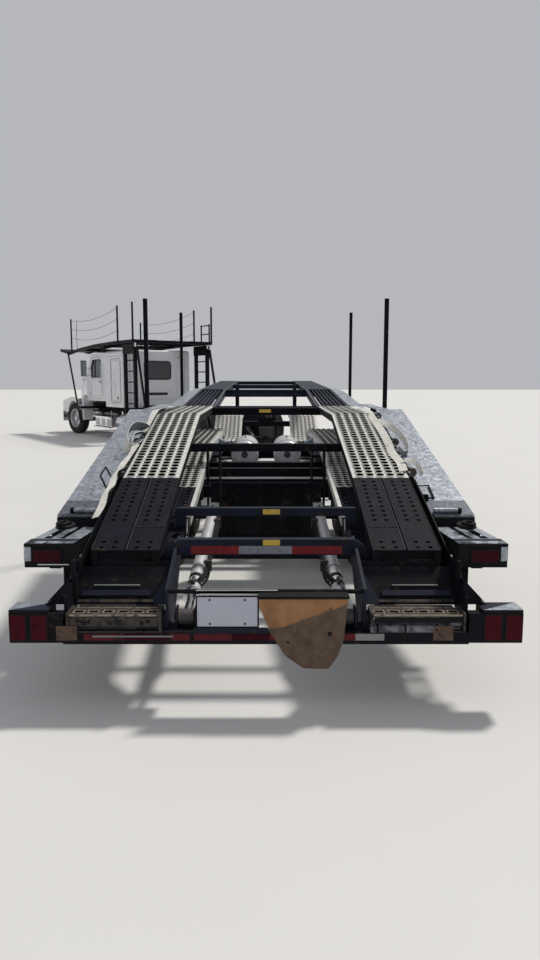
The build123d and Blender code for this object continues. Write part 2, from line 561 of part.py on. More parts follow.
def screen(low, high, front, back):
    """A (y, z) outline along the windscreen: low and high from its top, front and back from its face."""
    dy = WINDSHIELD_FOOT[0] - WINDSHIELD_TOP[0]
    dz = WINDSHIELD_FOOT[1] - WINDSHIELD_TOP[1]
    run = hypot(dy, dz)
    dy, dz = dy / run, dz / run
    corners = ((low, front), (high, front), (high, back), (low, back))
    return [(WINDSHIELD_TOP[0] + dy * a - dz * b, WINDSHIELD_TOP[1] + dz * a + dy * b) for a, b in corners]


def grown(outline, gap, centre):
    """An outline with each point moved away from the centre by the gap, along y and z."""
    return [(y + (gap if y > centre[0] else -gap), z + (gap if z > centre[1] else -gap)) for y, z in outline]


DOOR_CENTRE = (8100.0, 1900.0)
with BuildPart() as cab_shell:
    side_plate(CAB_PROFILE, (-CAB_X, CAB_X))
    side_plate(CAB_INSIDE, (-CAB_X + CAB_WALL, CAB_X - CAB_WALL), mode=Mode.SUBTRACT)
    for side in (-1, 1):
        side_plate(grown(DOOR_OUTLINE, DOOR_GAP, DOOR_CENTRE), (side * (CAB_X - 80), side * (CAB_X + 20)),
                   mode=Mode.SUBTRACT)
        side_plate(screen(70.0, 690.0, 40.0, -90.0), (side * SCREEN_X[0], side * SCREEN_X[1]), mode=Mode.SUBTRACT)
        # Cowl skirt behind the front wheel
        side_plate(((9000, 1250), (9180, 1250), (9205, 1050), (9190, 760), (9120, 480), (9000, 480)),
                   (side * 860.0, side * 1150.0))
        block((side * 860.0, side * (CAB_X - 5)), (8900.0, 9005.0), (1060.0, CAB_FLOOR + 5))
        # Hinge halves of the door, and a foot on the chassis at each end
        for z in DOOR_HINGES:
            rod((side * DOOR_PIVOT[0], DOOR_PIVOT[1], z + SEAT_GAP), (side * DOOR_PIVOT[0], DOOR_PIVOT[1], z + 40),
                9.0)
            block((side * (CAB_X - 1), side * DOOR_PIVOT[0]), (DOOR_PIVOT[1] + 4, DOOR_PIVOT[1] + 60),
                  (z + SEAT_GAP, z + 40))
        for y in (7300.0, 8700.0):
            block((side * CHASSIS_X, side * (CHASSIS_X + CHASSIS_W)), (y, y + 100),
                  (CHASSIS_Z[1] + SEAT_GAP, CAB_FLOOR + 5))
keep(cab_shell, "cab_shell", TRACTOR)

for word, side in (("left", -1), ("right", 1)):
    with BuildPart() as door:
        side_plate(DOOR_OUTLINE, (side * (CAB_X - DOOR_THICK), side * CAB_X))
        side_plate(WINDOW_OUTLINE, (side * (CAB_X - DOOR_THICK - 10), side * (CAB_X + 10)), mode=Mode.SUBTRACT)
        for z in DOOR_HINGES:
            rod((side * DOOR_PIVOT[0], DOOR_PIVOT[1], z - 40), (side * DOOR_PIVOT[0], DOOR_PIVOT[1], z), 9.0)
            block((side * (CAB_X - 1), side * DOOR_PIVOT[0]), (DOOR_PIVOT[1] - 60, DOOR_PIVOT[1] - 4),
                  (z - 40, z))
        # Mirror on its arms, and the handle
        for z in (1930.0, 2150.0):
            rod((side * (CAB_X - 20), 8590.0, z), (side * (CAB_X + 215), 8660.0, z), 11.0)
        block((side * (CAB_X + 130), side * (CAB_X + 300)), (8640.0, 8700.0), (1900.0, 2400.0))
        block((side * (CAB_X - 5), side * (CAB_X + 22)), (DOOR[0] + 50, DOOR[0] + 190), (1700.0, 1740.0))
    keep(door, f"door_{word}", TRACTOR)
    with BuildPart() as door_glass:
        side_plate(grown(WINDOW_OUTLINE, -SEAT_GAP, (8100.0, 2100.0)), (side * (CAB_X - 30), side * (CAB_X - 24)))
    keep(door_glass, f"door_glass_{word}", TRACTOR)


def rear_window(y, gap, mode=Mode.ADD):
    """The rear window's outline with round corners, made smaller by the gap, in the open part."""
    width = 2 * (REAR_WINDOW_X - gap)
    height = REAR_WINDOW_Z[1] - REAR_WINDOW_Z[0] - 2 * gap
    with BuildSketch(Plane.XZ.offset(-y[0])) as outline:
        with Locations((0, sum(REAR_WINDOW_Z) / 2)):
            RectangleRounded(width, height, 80.0 - gap)
    extrude(outline.sketch, amount=y[0] - y[1], mode=mode)


# Sleeper: a hollow box with a wide rear window and one window on each side
with BuildPart() as sleeper_shell:
    block((-SLEEPER_X, SLEEPER_X), SLEEPER, (SLEEPER_FLOOR, SLEEPER_ROOF_Z))
    fillet(sleeper_shell.edges().filter_by(Axis.Y).group_by(Axis.Z)[-1], 110.0)
    fillet(sleeper_shell.edges().filter_by(Axis.X).group_by(Axis.Z)[-1].sort_by(Axis.Y)[0], 60.0)
    block((-SLEEPER_X + CAB_WALL, SLEEPER_X - CAB_WALL), (SLEEPER[0] + CAB_WALL, SLEEPER[1] + 20),
          (CAB_FLOOR, SLEEPER_ROOF_Z - 100), mode=Mode.SUBTRACT)
    block((-CHASSIS_X - CHASSIS_W - 30, CHASSIS_X + CHASSIS_W + 30), (SLEEPER[0] - 5, SLEEPER[1] + 5),
          (SLEEPER_FLOOR - 5, CHASSIS_Z[1] + 40), mode=Mode.SUBTRACT)
    rear_window((SLEEPER[0] - 20, SLEEPER[0] + 60), 0.0, Mode.SUBTRACT)
    for side in (-1, 1):
        for y in (5900.0, 6950.0):
            block((side * CHASSIS_X, side * (CHASSIS_X + CHASSIS_W)), (y, y + 100),
                  (CHASSIS_Z[1] + SEAT_GAP, CHASSIS_Z[1] + 45))
keep(sleeper_shell, "sleeper_shell", TRACTOR)

with BuildPart() as cab_glass:
    rear_window((SLEEPER[0] + 14, SLEEPER[0] + 20), SEAT_GAP)
    for side in (-1, 1):
        side_plate(screen(70.0 + SEAT_GAP, 690.0 - SEAT_GAP, -20.0, -26.0),
                   (side * (SCREEN_X[0] + SEAT_GAP), side * (SCREEN_X[1] - SEAT_GAP)))
keep(cab_glass, "cab_glass", TRACTOR)

# Seats and dashboard
with BuildPart() as seats:
    for side in (-1, 1):
        x = side * 480.0
        block((x - 240, x + 240), (7750.0, 8250.0), (1480.0, 1600.0))
        block((x - 240, x + 240), (7640.0, 7760.0), (1560.0, 2220.0))
        block((x - 150, x + 150), (7850.0, 8150.0), (CAB_FLOOR + 60 + SEAT_GAP, 1490.0))
keep(seats, "seats", TRACTOR)

with BuildPart() as dashboard:
    side_plate(((8640, 1500), (8620, 1800), (8700, 1900), (8900, 1900), (8939.7, 1849), (8939.7, 1300),
                (8800, 1300)), (-CAB_X + CAB_WALL + 10, CAB_X - CAB_WALL - 10))
    rod((-480.0, 8680.0, 1650.0), (-480.0, 8400.0, 1800.0), 30.0)
    with BuildSketch(Plane(origin=(-480.0, 8400.0, 1800.0), z_dir=(0, -280, 150))):
        Circle(225.0)
        Circle(195.0, mode=Mode.SUBTRACT)
        Rectangle(400.0, 40.0)
    extrude(amount=24.0)
keep(dashboard, "dashboard", TRACTOR)

# Hood with its fenders
ARCH_R = TRACTOR_TYRE_R + 65
LAMP_X = (700.0, 1080.0)
LAMP_Z = (860.0, 1060.0)
with BuildPart() as hood:
    with BuildSketch(Plane.XZ.offset(-9010.0)):
        with BuildLine():
            Polyline((-800, 1050), (-800, 1820), (-640, 1930), (640, 1930), (800, 1820), (800, 1050), close=True)
        make_face()
    with BuildSketch(Plane.XZ.offset(-NOSE)):
        with BuildLine():
            Polyline((-560, 1050), (-560, 1640), (-430, 1740), (430, 1740), (560, 1640), (560, 1050), close=True)
        make_face()
    loft()
    for side in (-1, 1):
        side_plate(((9250, 800), (9245, 900), (9300, 1020), (9400, 1120), (9560, 1195), (9750, 1225), (9950, 1220),
                    (10250, 1180), (10600, 1130), (NOSE - 40, 1075), (NOSE, 1000), (NOSE, 760), (10460, 700),
                    (9600, 700)),
                   (side * 560.0, side * 1225.0))
    with BuildSketch(Plane.XZ.offset(-8990.0)):
        with BuildLine():
            Polyline((-740, 900), (-740, 1790), (-610, 1880), (610, 1880), (740, 1790), (740, 900), close=True)
        make_face()
    with BuildSketch(Plane.XZ.offset(-(NOSE + 10))):
        with BuildLine():
            Polyline((-500, 900), (-500, 1600), (-400, 1680), (400, 1680), (500, 1600), (500, 900), close=True)
        make_face()
    loft(mode=Mode.SUBTRACT)
    for side in (-1, 1):
        rod((side * 500.0, FRONT_AXLE, TRACTOR_TYRE_R), (side * 1300.0, FRONT_AXLE, TRACTOR_TYRE_R), ARCH_R,
            mode=Mode.SUBTRACT)
        block((side * 480.0, side * 1195.0), (FRONT_AXLE - 510, FRONT_AXLE + 640), (690.0, 1250.0),
              mode=Mode.SUBTRACT)
        block((side * (LAMP_X[0] - SEAT_GAP), side * (LAMP_X[1] + SEAT_GAP)), (NOSE - 40 - SEAT_GAP, NOSE + 20),
              (LAMP_Z[0] - SEAT_GAP, LAMP_Z[1] + SEAT_GAP), mode=Mode.SUBTRACT)
    rod((-565.0, *HOOD_PIVOT), (565.0, *HOOD_PIVOT), HOOD_TUBE_R)
keep(hood, "hood", TRACTOR)

with BuildPart() as grille:
    with BuildSketch(Plane.XZ.offset(-(NOSE - 30))):
        with BuildLine():
            Polyline((-501, 820), (-501, 1599), (-400, 1680), (400, 1680), (501, 1599), (501, 820), close=True)
        make_face()
    extrude(amount=-40.0)
    for side in (-1, 1):
        block((side * LAMP_X[0], side * LAMP_X[1]), (NOSE - 40, NOSE + 12), LAMP_Z)
keep(grille, "grille", TRACTOR)

with BuildPart() as front_bumper:
    block((-1215.0, 1215.0), (NOSE + 40, BUMPER_FACE), (380.0, 740.0))
    fillet(front_bumper.edges().filter_by(Axis.Z).sort_by(Axis.Y)[-2:], 90.0)
    block((-1100.0, 1100.0), (NOSE, BUMPER_FACE - 60), (300.0, 800.0), mode=Mode.SUBTRACT)
    for side in (-1, 1):
        x = side * (CHASSIS_X + CHASSIS_W / 2)
        block((x - 30, x + 30), (CHASSIS_NOSE, BUMPER_FACE - 55), (560.0, CHASSIS_Z[0] - SEAT_GAP))
        block((x - 30, x + 30), (CHASSIS_NOSE - 120, CHASSIS_NOSE), (560.0, CHASSIS_Z[0] - SEAT_GAP))
keep(front_bumper, "front_bumper", TRACTOR)

# Fuel tanks with their steps
FUEL_R = 200.0
TANK_AXIS_Z = 520.0
STEP_BOX_Y = (6800.0, 8110.0)
with BuildPart() as fuel_tanks:
    rod((880.0, 5450.0, TANK_AXIS_Z), (880.0, 6500.0, TANK_AXIS_Z), FUEL_R)
    fillet(fuel_tanks.edges().filter_by(GeomType.CIRCLE), 30.0)
    block((600.0, 1100.0), STEP_BOX_Y, (330.0, 660.0))
    for z in (310.0, 630.0):
        block((1060.0, 1190.0), STEP_BOX_Y, (z, z + 30))
    for y, x_out in ((5650.0, 760.0), (6300.0, 760.0), (7000.0, 650.0), (7900.0, 650.0)):
        block((CHASSIS_X + CHASSIS_W + SEAT_GAP, x_out), (y - 40, y + 40), (600.0, 800.0))
    mirror(about=Plane.YZ)
keep(fuel_tanks, "fuel_tanks", TRACTOR)

# Air cleaners ahead of the doors
with BuildPart() as air_cleaners:
    rod((985.0, 9125.0, 1262.0), (985.0, 9125.0, 1920.0), 120.0)
    fillet(air_cleaners.edges().filter_by(GeomType.CIRCLE), 40.0)
    block((960.0, 1010.0), (8990.0 + SEAT_GAP, 9020.0), (1550.0, 1650.0))
    mirror(about=Plane.YZ)
keep(air_cleaners, "air_cleaners", TRACTOR)

# Front axle beam, knuckles and drive axles
with BuildPart() as front_axle:
    block((-760.0, 760.0), (FRONT_AXLE - 50, FRONT_AXLE + 50), (400.0, 500.0))
    for side in (-1, 1):
        x = side * (CHASSIS_X + CHASSIS_W / 2)
        block((x - 45, x + 45), (FRONT_AXLE - 700, FRONT_AXLE + 700), (TRACTOR_TYRE_R - 15, TRACTOR_TYRE_R + 45))
        for y in (-650.0, 650.0):
            block((x - 30, x + 30), (FRONT_AXLE + y - 40, FRONT_AXLE + y + 40),
                  (TRACTOR_TYRE_R + 40, CHASSIS_Z[0] - SEAT_GAP))
        block((side * 755.0, side * (KINGPIN_X - KINGPIN_R - SEAT_GAP)), (FRONT_AXLE - 45, FRONT_AXLE + 45),
              (440.0, 590.0))
keep(front_axle, "front_axle", TRACTOR)


def steered(side):
    """The tractor's place with one front wheel turned about its kingpin."""
    pin = (side * KINGPIN_X, FRONT_AXLE, 0)
    return TRACTOR * Location(pin, (0, 0, STEER)) * Location((-pin[0], -pin[1], 0))


SPINDLE_END = FRONT_WHEEL_OUT - 0.6 * FRONT_TYRE_W - DRUM_W - SEAT_GAP
for word, side in (("left", -1), ("right", 1)):
    with BuildPart() as knuckle:
        x = side * KINGPIN_X
        rod((x, FRONT_AXLE, 380.0), (x, FRONT_AXLE, 650.0), KINGPIN_R)
        rod((x, FRONT_AXLE, TRACTOR_TYRE_R), (side * SPINDLE_END, FRONT_AXLE, TRACTOR_TYRE_R), 45.0)
        block((x - 20, x + 20), (FRONT_AXLE - 260, FRONT_AXLE), (395.0, 425.0))
    keep(knuckle, f"knuckle_{word}", steered(side))

DRIVE_DRUM_IN = DRIVE_WHEEL_OUT - 1.5 * TYRE_WIDTH - DRUM_W
with BuildPart() as drive_axles:
    for y in DRIVE_AXLES:
        rod((-DRIVE_DRUM_IN + SEAT_GAP, y, TRACTOR_TYRE_R), (DRIVE_DRUM_IN - SEAT_GAP, y, TRACTOR_TYRE_R), 70.0)
        with Locations((0, y, TRACTOR_TYRE_R + 20)):
            Sphere(230.0)
        for side in (-1, 1):
            x = side * (CHASSIS_X + CHASSIS_W / 2)
            rod((x, y, TRACTOR_TYRE_R), (x, y, CHASSIS_Z[0] - SEAT_GAP), 90.0)
    rod((0, DRIVE_AXLES[0], TRACTOR_TYRE_R + 40), (0, DRIVE_AXLES[1], TRACTOR_TYRE_R + 40), 50.0)
    rod((0, DRIVE_AXLES[1], TRACTOR_TYRE_R + 40), (0, 8900.0, 660.0), 55.0)
keep(drive_axles, "drive_axles", TRACTOR)

for word, side in (("left", -1), ("right", 1)):
    wheel(f"front_{word}", FRONT_AXLE, FRONT_WHEEL_OUT, side, TRACTOR_TYRE_R, FRONT_TYRE_W, False, steered(side),
          TRACTOR_TYRE_R)
for row, y in enumerate(DRIVE_AXLES):
    for word, side in (("left", -1), ("right", 1)):
        name = f"drive_{('rear', 'front')[row]}_{word}"
        wheel(name, y, DRIVE_WHEEL_OUT, side, TRACTOR_TYRE_R, TYRE_WIDTH, True, TRACTOR, TRACTOR_TYRE_R)

# Head rack legs: sloping front legs, and two upright pairs with rungs behind the sleeper
with BuildPart() as headrack_legs:
    # Sloping front legs and their brackets on the chassis
    block((CHASSIS_X + CHASSIS_W + SEAT_GAP, FRONT_LEG_X), (8900.0, 8980.0), (860.0, 930.0))
    block((FRONT_LEG_X - 35, FRONT_LEG_X + 15), (8900.0, 9230.0), (860.0, 930.0))
    beam((FRONT_LEG_X, 8990.0, 400.0), (FRONT_LEG_X, RACK_HINGE[0] + 15, RACK_HINGE[1] + 36), 34.0, 70.0)
    rod((FRONT_LEG_X - 75, *RACK_HINGE), (FRONT_LEG_X + 35, *RACK_HINGE), 20.0 + FIT_GAP, mode=Mode.SUBTRACT)
    for y in RACK_LEGS_Y:
        block((CHASSIS_X + CHASSIS_W + SEAT_GAP, LEG_X + RACK_LEG / 2), (y - 45, y + 45), (800.0, 900.0))
        block((LEG_X - RACK_LEG / 2, LEG_X + RACK_LEG / 2), (y - RACK_LEG / 2, y + RACK_LEG / 2),
              (800.0, 2680.0))
    for i in range(5):
        z = 1080.0 + 305.0 * i
        block((LEG_X - 15, LEG_X + 15), (RACK_LEGS_Y[0] + 35, RACK_LEGS_Y[1] - 35), (z, z + 30))
    # Brace behind the rear leg, with its foot on the chassis
    beam((LEG_X, 4660.0, 2600.0), (LEG_X, *BRACE_FOOT), 50.0, 50.0)
    block((LEG_X - 25, LEG_X + 25), (4630.0, 4790.0), (2560.0, 2640.0))
    block((CHASSIS_X + CHASSIS_W + SEAT_GAP, LEG_X + 25), (BRACE_FOOT[0] - 40, BRACE_FOOT[0] + 40), (850.0, 910.0))
    bore = RACK_ROD / 2 + SEAT_GAP
    block((LEG_X - bore, LEG_X + bore), (RACK_LEGS_Y[0] - bore, RACK_LEGS_Y[0] + bore), (1500.0, 2690.0),
          mode=Mode.SUBTRACT)
    mirror(about=Plane.YZ)
keep(headrack_legs, "headrack_legs", TRACTOR)

with BuildPart() as headrack_lift_rods:
    for side in (-1, 1):
        x = side * LEG_X
        block((x - RACK_ROD / 2, x + RACK_ROD / 2),
              (RACK_LEGS_Y[0] - RACK_ROD / 2, RACK_LEGS_Y[0] + RACK_ROD / 2),
              (1520.0, level(RACK_LINE, RACK_LEGS_Y[0]) - 85 - SEAT_GAP))
keep(headrack_lift_rods, "headrack_lift_rods", TRACTOR)

# Head rack deck with its guard posts
GUARDS = ((RACK_REAR + 40, 3890.0), (5790.0, 3880.0), (9720.0, 3780.0))
with BuildPart() as headrack_deck:
    side_plate(ribbon(RACK_LINE, 90.0), (RACK_X - 60, RACK_X))
    side_plate(ribbon(RACK_LINE, 60.0), (560.0, 600.0))
    block((RACK_X - 40, RACK_X), (RACK_HINGE[0] - 45, RACK_HINGE[0] + 45), (RACK_HINGE[1] - 30, RACK_HINGE[1] + 60))
    rod((RACK_X - 40, *RACK_HINGE), (FRONT_LEG_X + 17, *RACK_HINGE), 20.0)
    # Runway plates of the head rack
    side_plate(ribbon(lowered(RACK_LINE, 4.0), SHEET), (595.0, RACK_X - 55))
    for y, top in GUARDS:
        z = level(RACK_LINE, y)
        block((RACK_X - 25, RACK_X + 15), (y - 20, y + 20), (z - 70, top))
    mirror(about=Plane.YZ)
    for y in (RACK_REAR + 30, RACK_LEGS_Y[0], 6200.0, 7600.0, 9000.0, 10840.0):
        z = level(RACK_LINE, y)
        block((-RACK_X + 10, RACK_X - 10), (y - 30, y + 30), (z - 85, z - 10))
    # Ladder that stands up from the right rail
    for y in LADDER_Y:
        block((RACK_X - 50, RACK_X - 20), (y - 18, y + 18), (2830.0, 3400.0))
    for z in (3100.0, 3350.0):
        block((RACK_X - 45, RACK_X - 25), LADDER_Y, (z, z + 30))
keep(headrack_deck, "headrack_deck", TRACTOR)
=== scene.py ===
"""Looks of a car transporter: materials, small parts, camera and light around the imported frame."""

import math

import bmesh
import bpy
from mathutils import Matrix, Vector


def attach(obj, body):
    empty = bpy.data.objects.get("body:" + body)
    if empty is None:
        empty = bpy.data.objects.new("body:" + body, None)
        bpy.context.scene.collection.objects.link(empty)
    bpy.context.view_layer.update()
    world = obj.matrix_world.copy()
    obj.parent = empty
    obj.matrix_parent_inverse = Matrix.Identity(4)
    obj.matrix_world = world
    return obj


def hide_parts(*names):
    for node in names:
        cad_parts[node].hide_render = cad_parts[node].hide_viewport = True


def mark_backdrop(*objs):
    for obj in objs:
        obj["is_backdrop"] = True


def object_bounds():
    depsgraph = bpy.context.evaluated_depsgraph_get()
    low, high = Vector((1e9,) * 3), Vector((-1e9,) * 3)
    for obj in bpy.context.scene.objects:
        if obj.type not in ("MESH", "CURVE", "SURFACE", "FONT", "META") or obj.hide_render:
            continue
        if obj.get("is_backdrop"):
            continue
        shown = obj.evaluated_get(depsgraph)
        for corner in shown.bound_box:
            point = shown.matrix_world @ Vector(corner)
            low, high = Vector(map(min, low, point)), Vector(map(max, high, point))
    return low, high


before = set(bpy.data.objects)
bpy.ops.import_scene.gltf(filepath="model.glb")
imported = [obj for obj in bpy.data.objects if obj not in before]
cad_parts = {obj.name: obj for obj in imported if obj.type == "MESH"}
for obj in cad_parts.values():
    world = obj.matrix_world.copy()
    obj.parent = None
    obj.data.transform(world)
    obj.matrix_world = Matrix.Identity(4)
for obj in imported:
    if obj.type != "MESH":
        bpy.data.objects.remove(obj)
low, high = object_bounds()

# The axes of the trailer and the tractor, and the lines of (y, z) that decks and plates follow in them
HITCH_Y, HITCH_TURN, STEER = 13.5, math.radians(34), math.radians(10)
TRAILER = Matrix.Translation((2.925, -11.65, 0))
TRACTOR = TRAILER @ Matrix.Translation((0, HITCH_Y, 0)) @ Matrix.Rotation(HITCH_TURN, 4, "Z")
LOWER_DECK = ((0.97, 0.82), (2.9, 1.12), (4.7, 1.14), (5.5, 0.62), (10.2, 0.62), (11.1, 1.01), (11.9, 1.02))
REAR_DECK = ((0.38, 0.74), (1.33, 1.02), (2.95, 1.38), (4.62, 1.4))
FRONT_DECK = ((4.76, 1.39), (7.3, 1.575), (12.2, 1.72))
RACK_LINE = ((4.69, 2.88), (6.2, 2.89), (7.6, 2.87), (9.0, 2.805), (9.93, 2.72), (10.88, 2.85))
FENDER = ((0.9, 0.84), (3.4, 1.41), (3.45, 1.412), (4.7, 1.425))
SIDES, HANDS = (-1, 1), (("left", -1), ("right", 1))
FORWARD, UPWARD = (0, 1, 0), (0, 0, 1)


def level(line, y):
    """The height of a line at y."""
    for (y0, z0), (y1, z1) in zip(line, line[1:]):
        if y <= y1 or y1 == line[-1][0]:
            return z0 + (z1 - z0) * (y - y0) / (y1 - y0)


def raised(line, up):
    return [(y, z + up) for y, z in line]


# Materials. In the node functions each value is a number, a colour or another node's output.
def feed(nt, n, inputs):
    for key, value in inputs.items():
        socket = n.inputs[key]
        if isinstance(value, bpy.types.NodeSocket):
            nt.links.new(value, socket)
        elif isinstance(value, tuple):
            socket.default_value = (*value, 1)[:len(socket.default_value)]
        else:
            socket.default_value = value


def node(nt, kind, inputs=None, **settings):
    n = nt.nodes.new("ShaderNode" + kind)
    for key, value in settings.items():
        setattr(n, key, value)
    feed(nt, n, inputs or {})
    return n


def mix(nt, kind, factor, a, b):
    in_a, in_b, out = {"RGBA": (6, 7, 2), "FLOAT": (2, 3, 0)}[kind]
    return node(nt, "Mix", {0: factor, in_a: a, in_b: b}, data_type=kind).outputs[out]


def noise(nt, coords, scale, detail=4.0, stretch=(1, 1, 1), rough=0.55):
    place = node(nt, "Mapping", {"Scale": stretch, "Vector": coords})
    return node(nt, "TexNoise", {"Scale": scale, "Detail": detail, "Roughness": rough,
                                 "Vector": place.outputs[0]}).outputs["Fac"]


def ramp(nt, value, low, high, a=0.0, b=1.0):
    return node(nt, "MapRange", {"Value": value, "From Min": low, "From Max": high, "To Min": a,
                                 "To Max": b}).outputs[0]


def maths(nt, operation, a, b):
    return node(nt, "Math", {0: a, 1: b}, operation=operation).outputs[0]


def surface(name, color, rough=0.5, metal=0.0, vary=0.12, grain=9.0, bump=0.15, fine=220.0, spots=None, dirt=None,
            spangle=None, coat=0.0, streaks=None, treads=False, alpha=1.0, weave=None, shine=0.5):
    """A procedural finish. spots and streaks are (colour, share, scale); dirt is (colour, height, strength)."""
    m = bpy.data.materials.new(name)
    m.use_nodes = True
    nt = m.node_tree
    coords = node(nt, "TexCoord").outputs["Object"]
    dark, light = (tuple(min(1.0, c * (1 + s * vary)) for c in color) for s in SIDES)
    out = mix(nt, "RGBA", ramp(nt, noise(nt, coords, grain, 5.0), 0.3, 0.7), dark, light)
    roughness = ramp(nt, noise(nt, coords, grain * 3.1, 6.0), 0.25, 0.75, max(0.02, rough - 0.09),
                     min(1.0, rough + 0.1))
    height = noise(nt, coords, fine, 3.0)
    metallic = metal

    def cover(mask, tint, rough_there):
        nonlocal out, roughness
        out = mix(nt, "RGBA", mask, out, tint)
        roughness = mix(nt, "FLOAT", mask, roughness, rough_there)

    if spangle:
        cells = node(nt, "TexVoronoi", {"Scale": spangle, "Vector": coords})
        tone = node(nt, "SeparateColor", {0: cells.outputs["Color"]}).outputs
        out = mix(nt, "RGBA", ramp(nt, tone[0], 0.0, 1.0), tuple(c * 0.66 for c in color),
                  tuple(min(1, c * 1.38) for c in color))
        roughness = ramp(nt, tone[1], 0.0, 1.0, rough - 0.12, rough + 0.14)
    if spots:
        tint, share, scale = spots
        patches = ramp(nt, noise(nt, coords, scale, 9.0, rough=0.68), 0.62 - share * 0.3, 0.68 - share * 0.3)
        cover(patches, tint, 0.85)
        metallic = mix(nt, "FLOAT", patches, metal, 0.0)
    if streaks:
        tint, share, scale = streaks
        cover(ramp(nt, noise(nt, coords, scale, 7.0, stretch=(1, 1, 0.12)), 0.66 - share * 0.3, 0.8), tint, 0.75)
    if dirt:
        tint, top, strength = dirt
        fade = ramp(nt, node(nt, "SeparateXYZ", {0: coords}).outputs[2], 0.1, top, 1.0, 0.0)
        cover(maths(nt, "MULTIPLY", maths(nt, "MULTIPLY", fade, strength),
                    ramp(nt, noise(nt, coords, 5.0, 8.0), 0.3, 0.65, 0.25, 1.0)), tint, 0.9)
    if weave:
        height = node(nt, "TexWave", {"Scale": weave, "Vector": coords}, bands_direction="DIAGONAL").outputs["Fac"]
    if treads:
        brick = node(nt, "TexBrick", {"Scale": 1.0, "Brick Width": 0.5, "Row Height": 0.25, "Mortar Size": 0.03,
                                      "Vector": node(nt, "TexCoord").outputs["UV"]})
        height = mix(nt, "FLOAT", 0.8, height, brick.outputs["Fac"])
    shader = nt.nodes["Principled BSDF"]
    feed(nt, shader, {"Base Color": out, "Roughness": roughness, "Metallic": metallic, "Specular IOR Level": shine,
                      "Coat Weight": coat, "Coat Roughness": 0.08})
    if bump:
        relief = node(nt, "Bump", {"Strength": bump, "Distance": 0.002, "Height": height})
        feed(nt, shader, {"Normal": relief.outputs[0]})
    if alpha < 1.0:
        feed(nt, shader, {"Transmission Weight": 1.0 - alpha, "IOR": 1.45})
    return m


DUST = (0.20, 0.175, 0.145)
GRIME = (0.10, 0.09, 0.08)
TYRE_DUST = ((0.13, 0.115, 0.10), 1.1, 0.2)
TAPE = dict(grain=40.0, bump=0.25, fine=260.0)
LENS = dict(vary=0.25, grain=60.0, fine=130.0, coat=0.04, shine=0.06)
WHITE = surface("paint_white", (0.72, 0.735, 0.76), 0.26, vary=0.025, grain=1.5, bump=0.02, coat=0.5,
                dirt=(DUST, 1.3, 0.4), streaks=((0.50, 0.48, 0.45), 0.0, 2.0))
TRIM = surface("trim_grey", (0.20, 0.205, 0.215), 0.4, vary=0.1, grain=5.0, bump=0.05)
BLACK = surface("steel_black", (0.0042, 0.0050, 0.0085), 0.58, vary=0.45, grain=6.0, bump=0.12, shine=0.08,
                spots=((0.045, 0.026, 0.018), 0.06, 9.0), dirt=(GRIME, 1.3, 0.08),
                streaks=((0.024, 0.023, 0.024), 0.12, 9.0))
DARK = surface("steel_dark_blue", (0.0095, 0.0135, 0.028), 0.5, vary=0.35, grain=8.0, bump=0.12, shine=0.12,
               spots=((0.05, 0.032, 0.022), 0.05, 9.0), dirt=(GRIME, 1.6, 0.08))
RAMP = surface("ramp_black", (0.0050, 0.0060, 0.0125), 0.6, vary=0.5, grain=16.0, bump=0.25, shine=0.07,
               spots=((0.038, 0.025, 0.019), 0.11, 9.0), dirt=((0.10, 0.085, 0.07), 2.5, 0.05))
RAMP_EDGE = surface("ramp_edge_rust", (0.060, 0.036, 0.024), 0.8, vary=0.4, grain=26.0, bump=0.4, shine=0.2,
                    spots=((0.012, 0.012, 0.016), 0.75, 9.0))
RACK = surface("rack_black", (0.0045, 0.0052, 0.0080), 0.52, vary=0.35, grain=5.0, bump=0.1, shine=0.12,
               spots=((0.04, 0.024, 0.016), 0.05, 9.0))
GALV = surface("galvanised", (0.30, 0.33, 0.38), 0.42, 0.65, bump=0.08, spangle=48.0,
               spots=((0.20, 0.19, 0.17), 0.03, 6.0), dirt=(DUST, 1.3, 0.12))
GALV_DARK = surface("galvanised_lip", (0.10, 0.115, 0.14), 0.5, 0.5, bump=0.1, spangle=60.0, spots=(GRIME, 0.08, 9.0))
GRIP = surface("grip_silver", (0.66, 0.66, 0.63), 0.4, 0.35, vary=0.14, grain=22.0, bump=0.12,
               spots=((0.24, 0.20, 0.16), 0.07, 20.0), dirt=(DUST, 1.9, 0.1))
SILVER = surface("silver_paint", (0.62, 0.63, 0.65), 0.34, 0.3, vary=0.06, bump=0.05, dirt=(DUST, 1.5, 0.3))
GUSSET = surface("gusset_blue_grey", (0.20, 0.235, 0.29), 0.5, 0.2, vary=0.2, grain=14.0,
                 spots=((0.12, 0.09, 0.07), 0.08, 14.0))
CHROME = surface("chrome", (0.80, 0.81, 0.83), 0.12, 1.0, vary=0.05, grain=4.0, bump=0.02, dirt=(DUST, 0.8, 0.3))
ALLOY = surface("wheel_alloy", (0.66, 0.67, 0.69), 0.24, 0.95, vary=0.08, bump=0.05, dirt=(DUST, 0.9, 0.4))
RUBBER = surface("rubber", (0.015, 0.015, 0.016), 0.75, vary=0.3, grain=12.0, bump=0.3, shine=0.3, dirt=TYRE_DUST)
TREAD = surface("rubber_tread", (0.013, 0.013, 0.014), 0.8, vary=0.3, grain=12.0, bump=0.9, treads=True, shine=0.3,
                dirt=TYRE_DUST)
CAST = surface("cast_iron", (0.06, 0.06, 0.064), 0.62, 0.4, vary=0.3, bump=0.4, fine=90.0,
               spots=((0.13, 0.055, 0.028), 0.12, 12.0), dirt=(DUST, 1.3, 0.3))
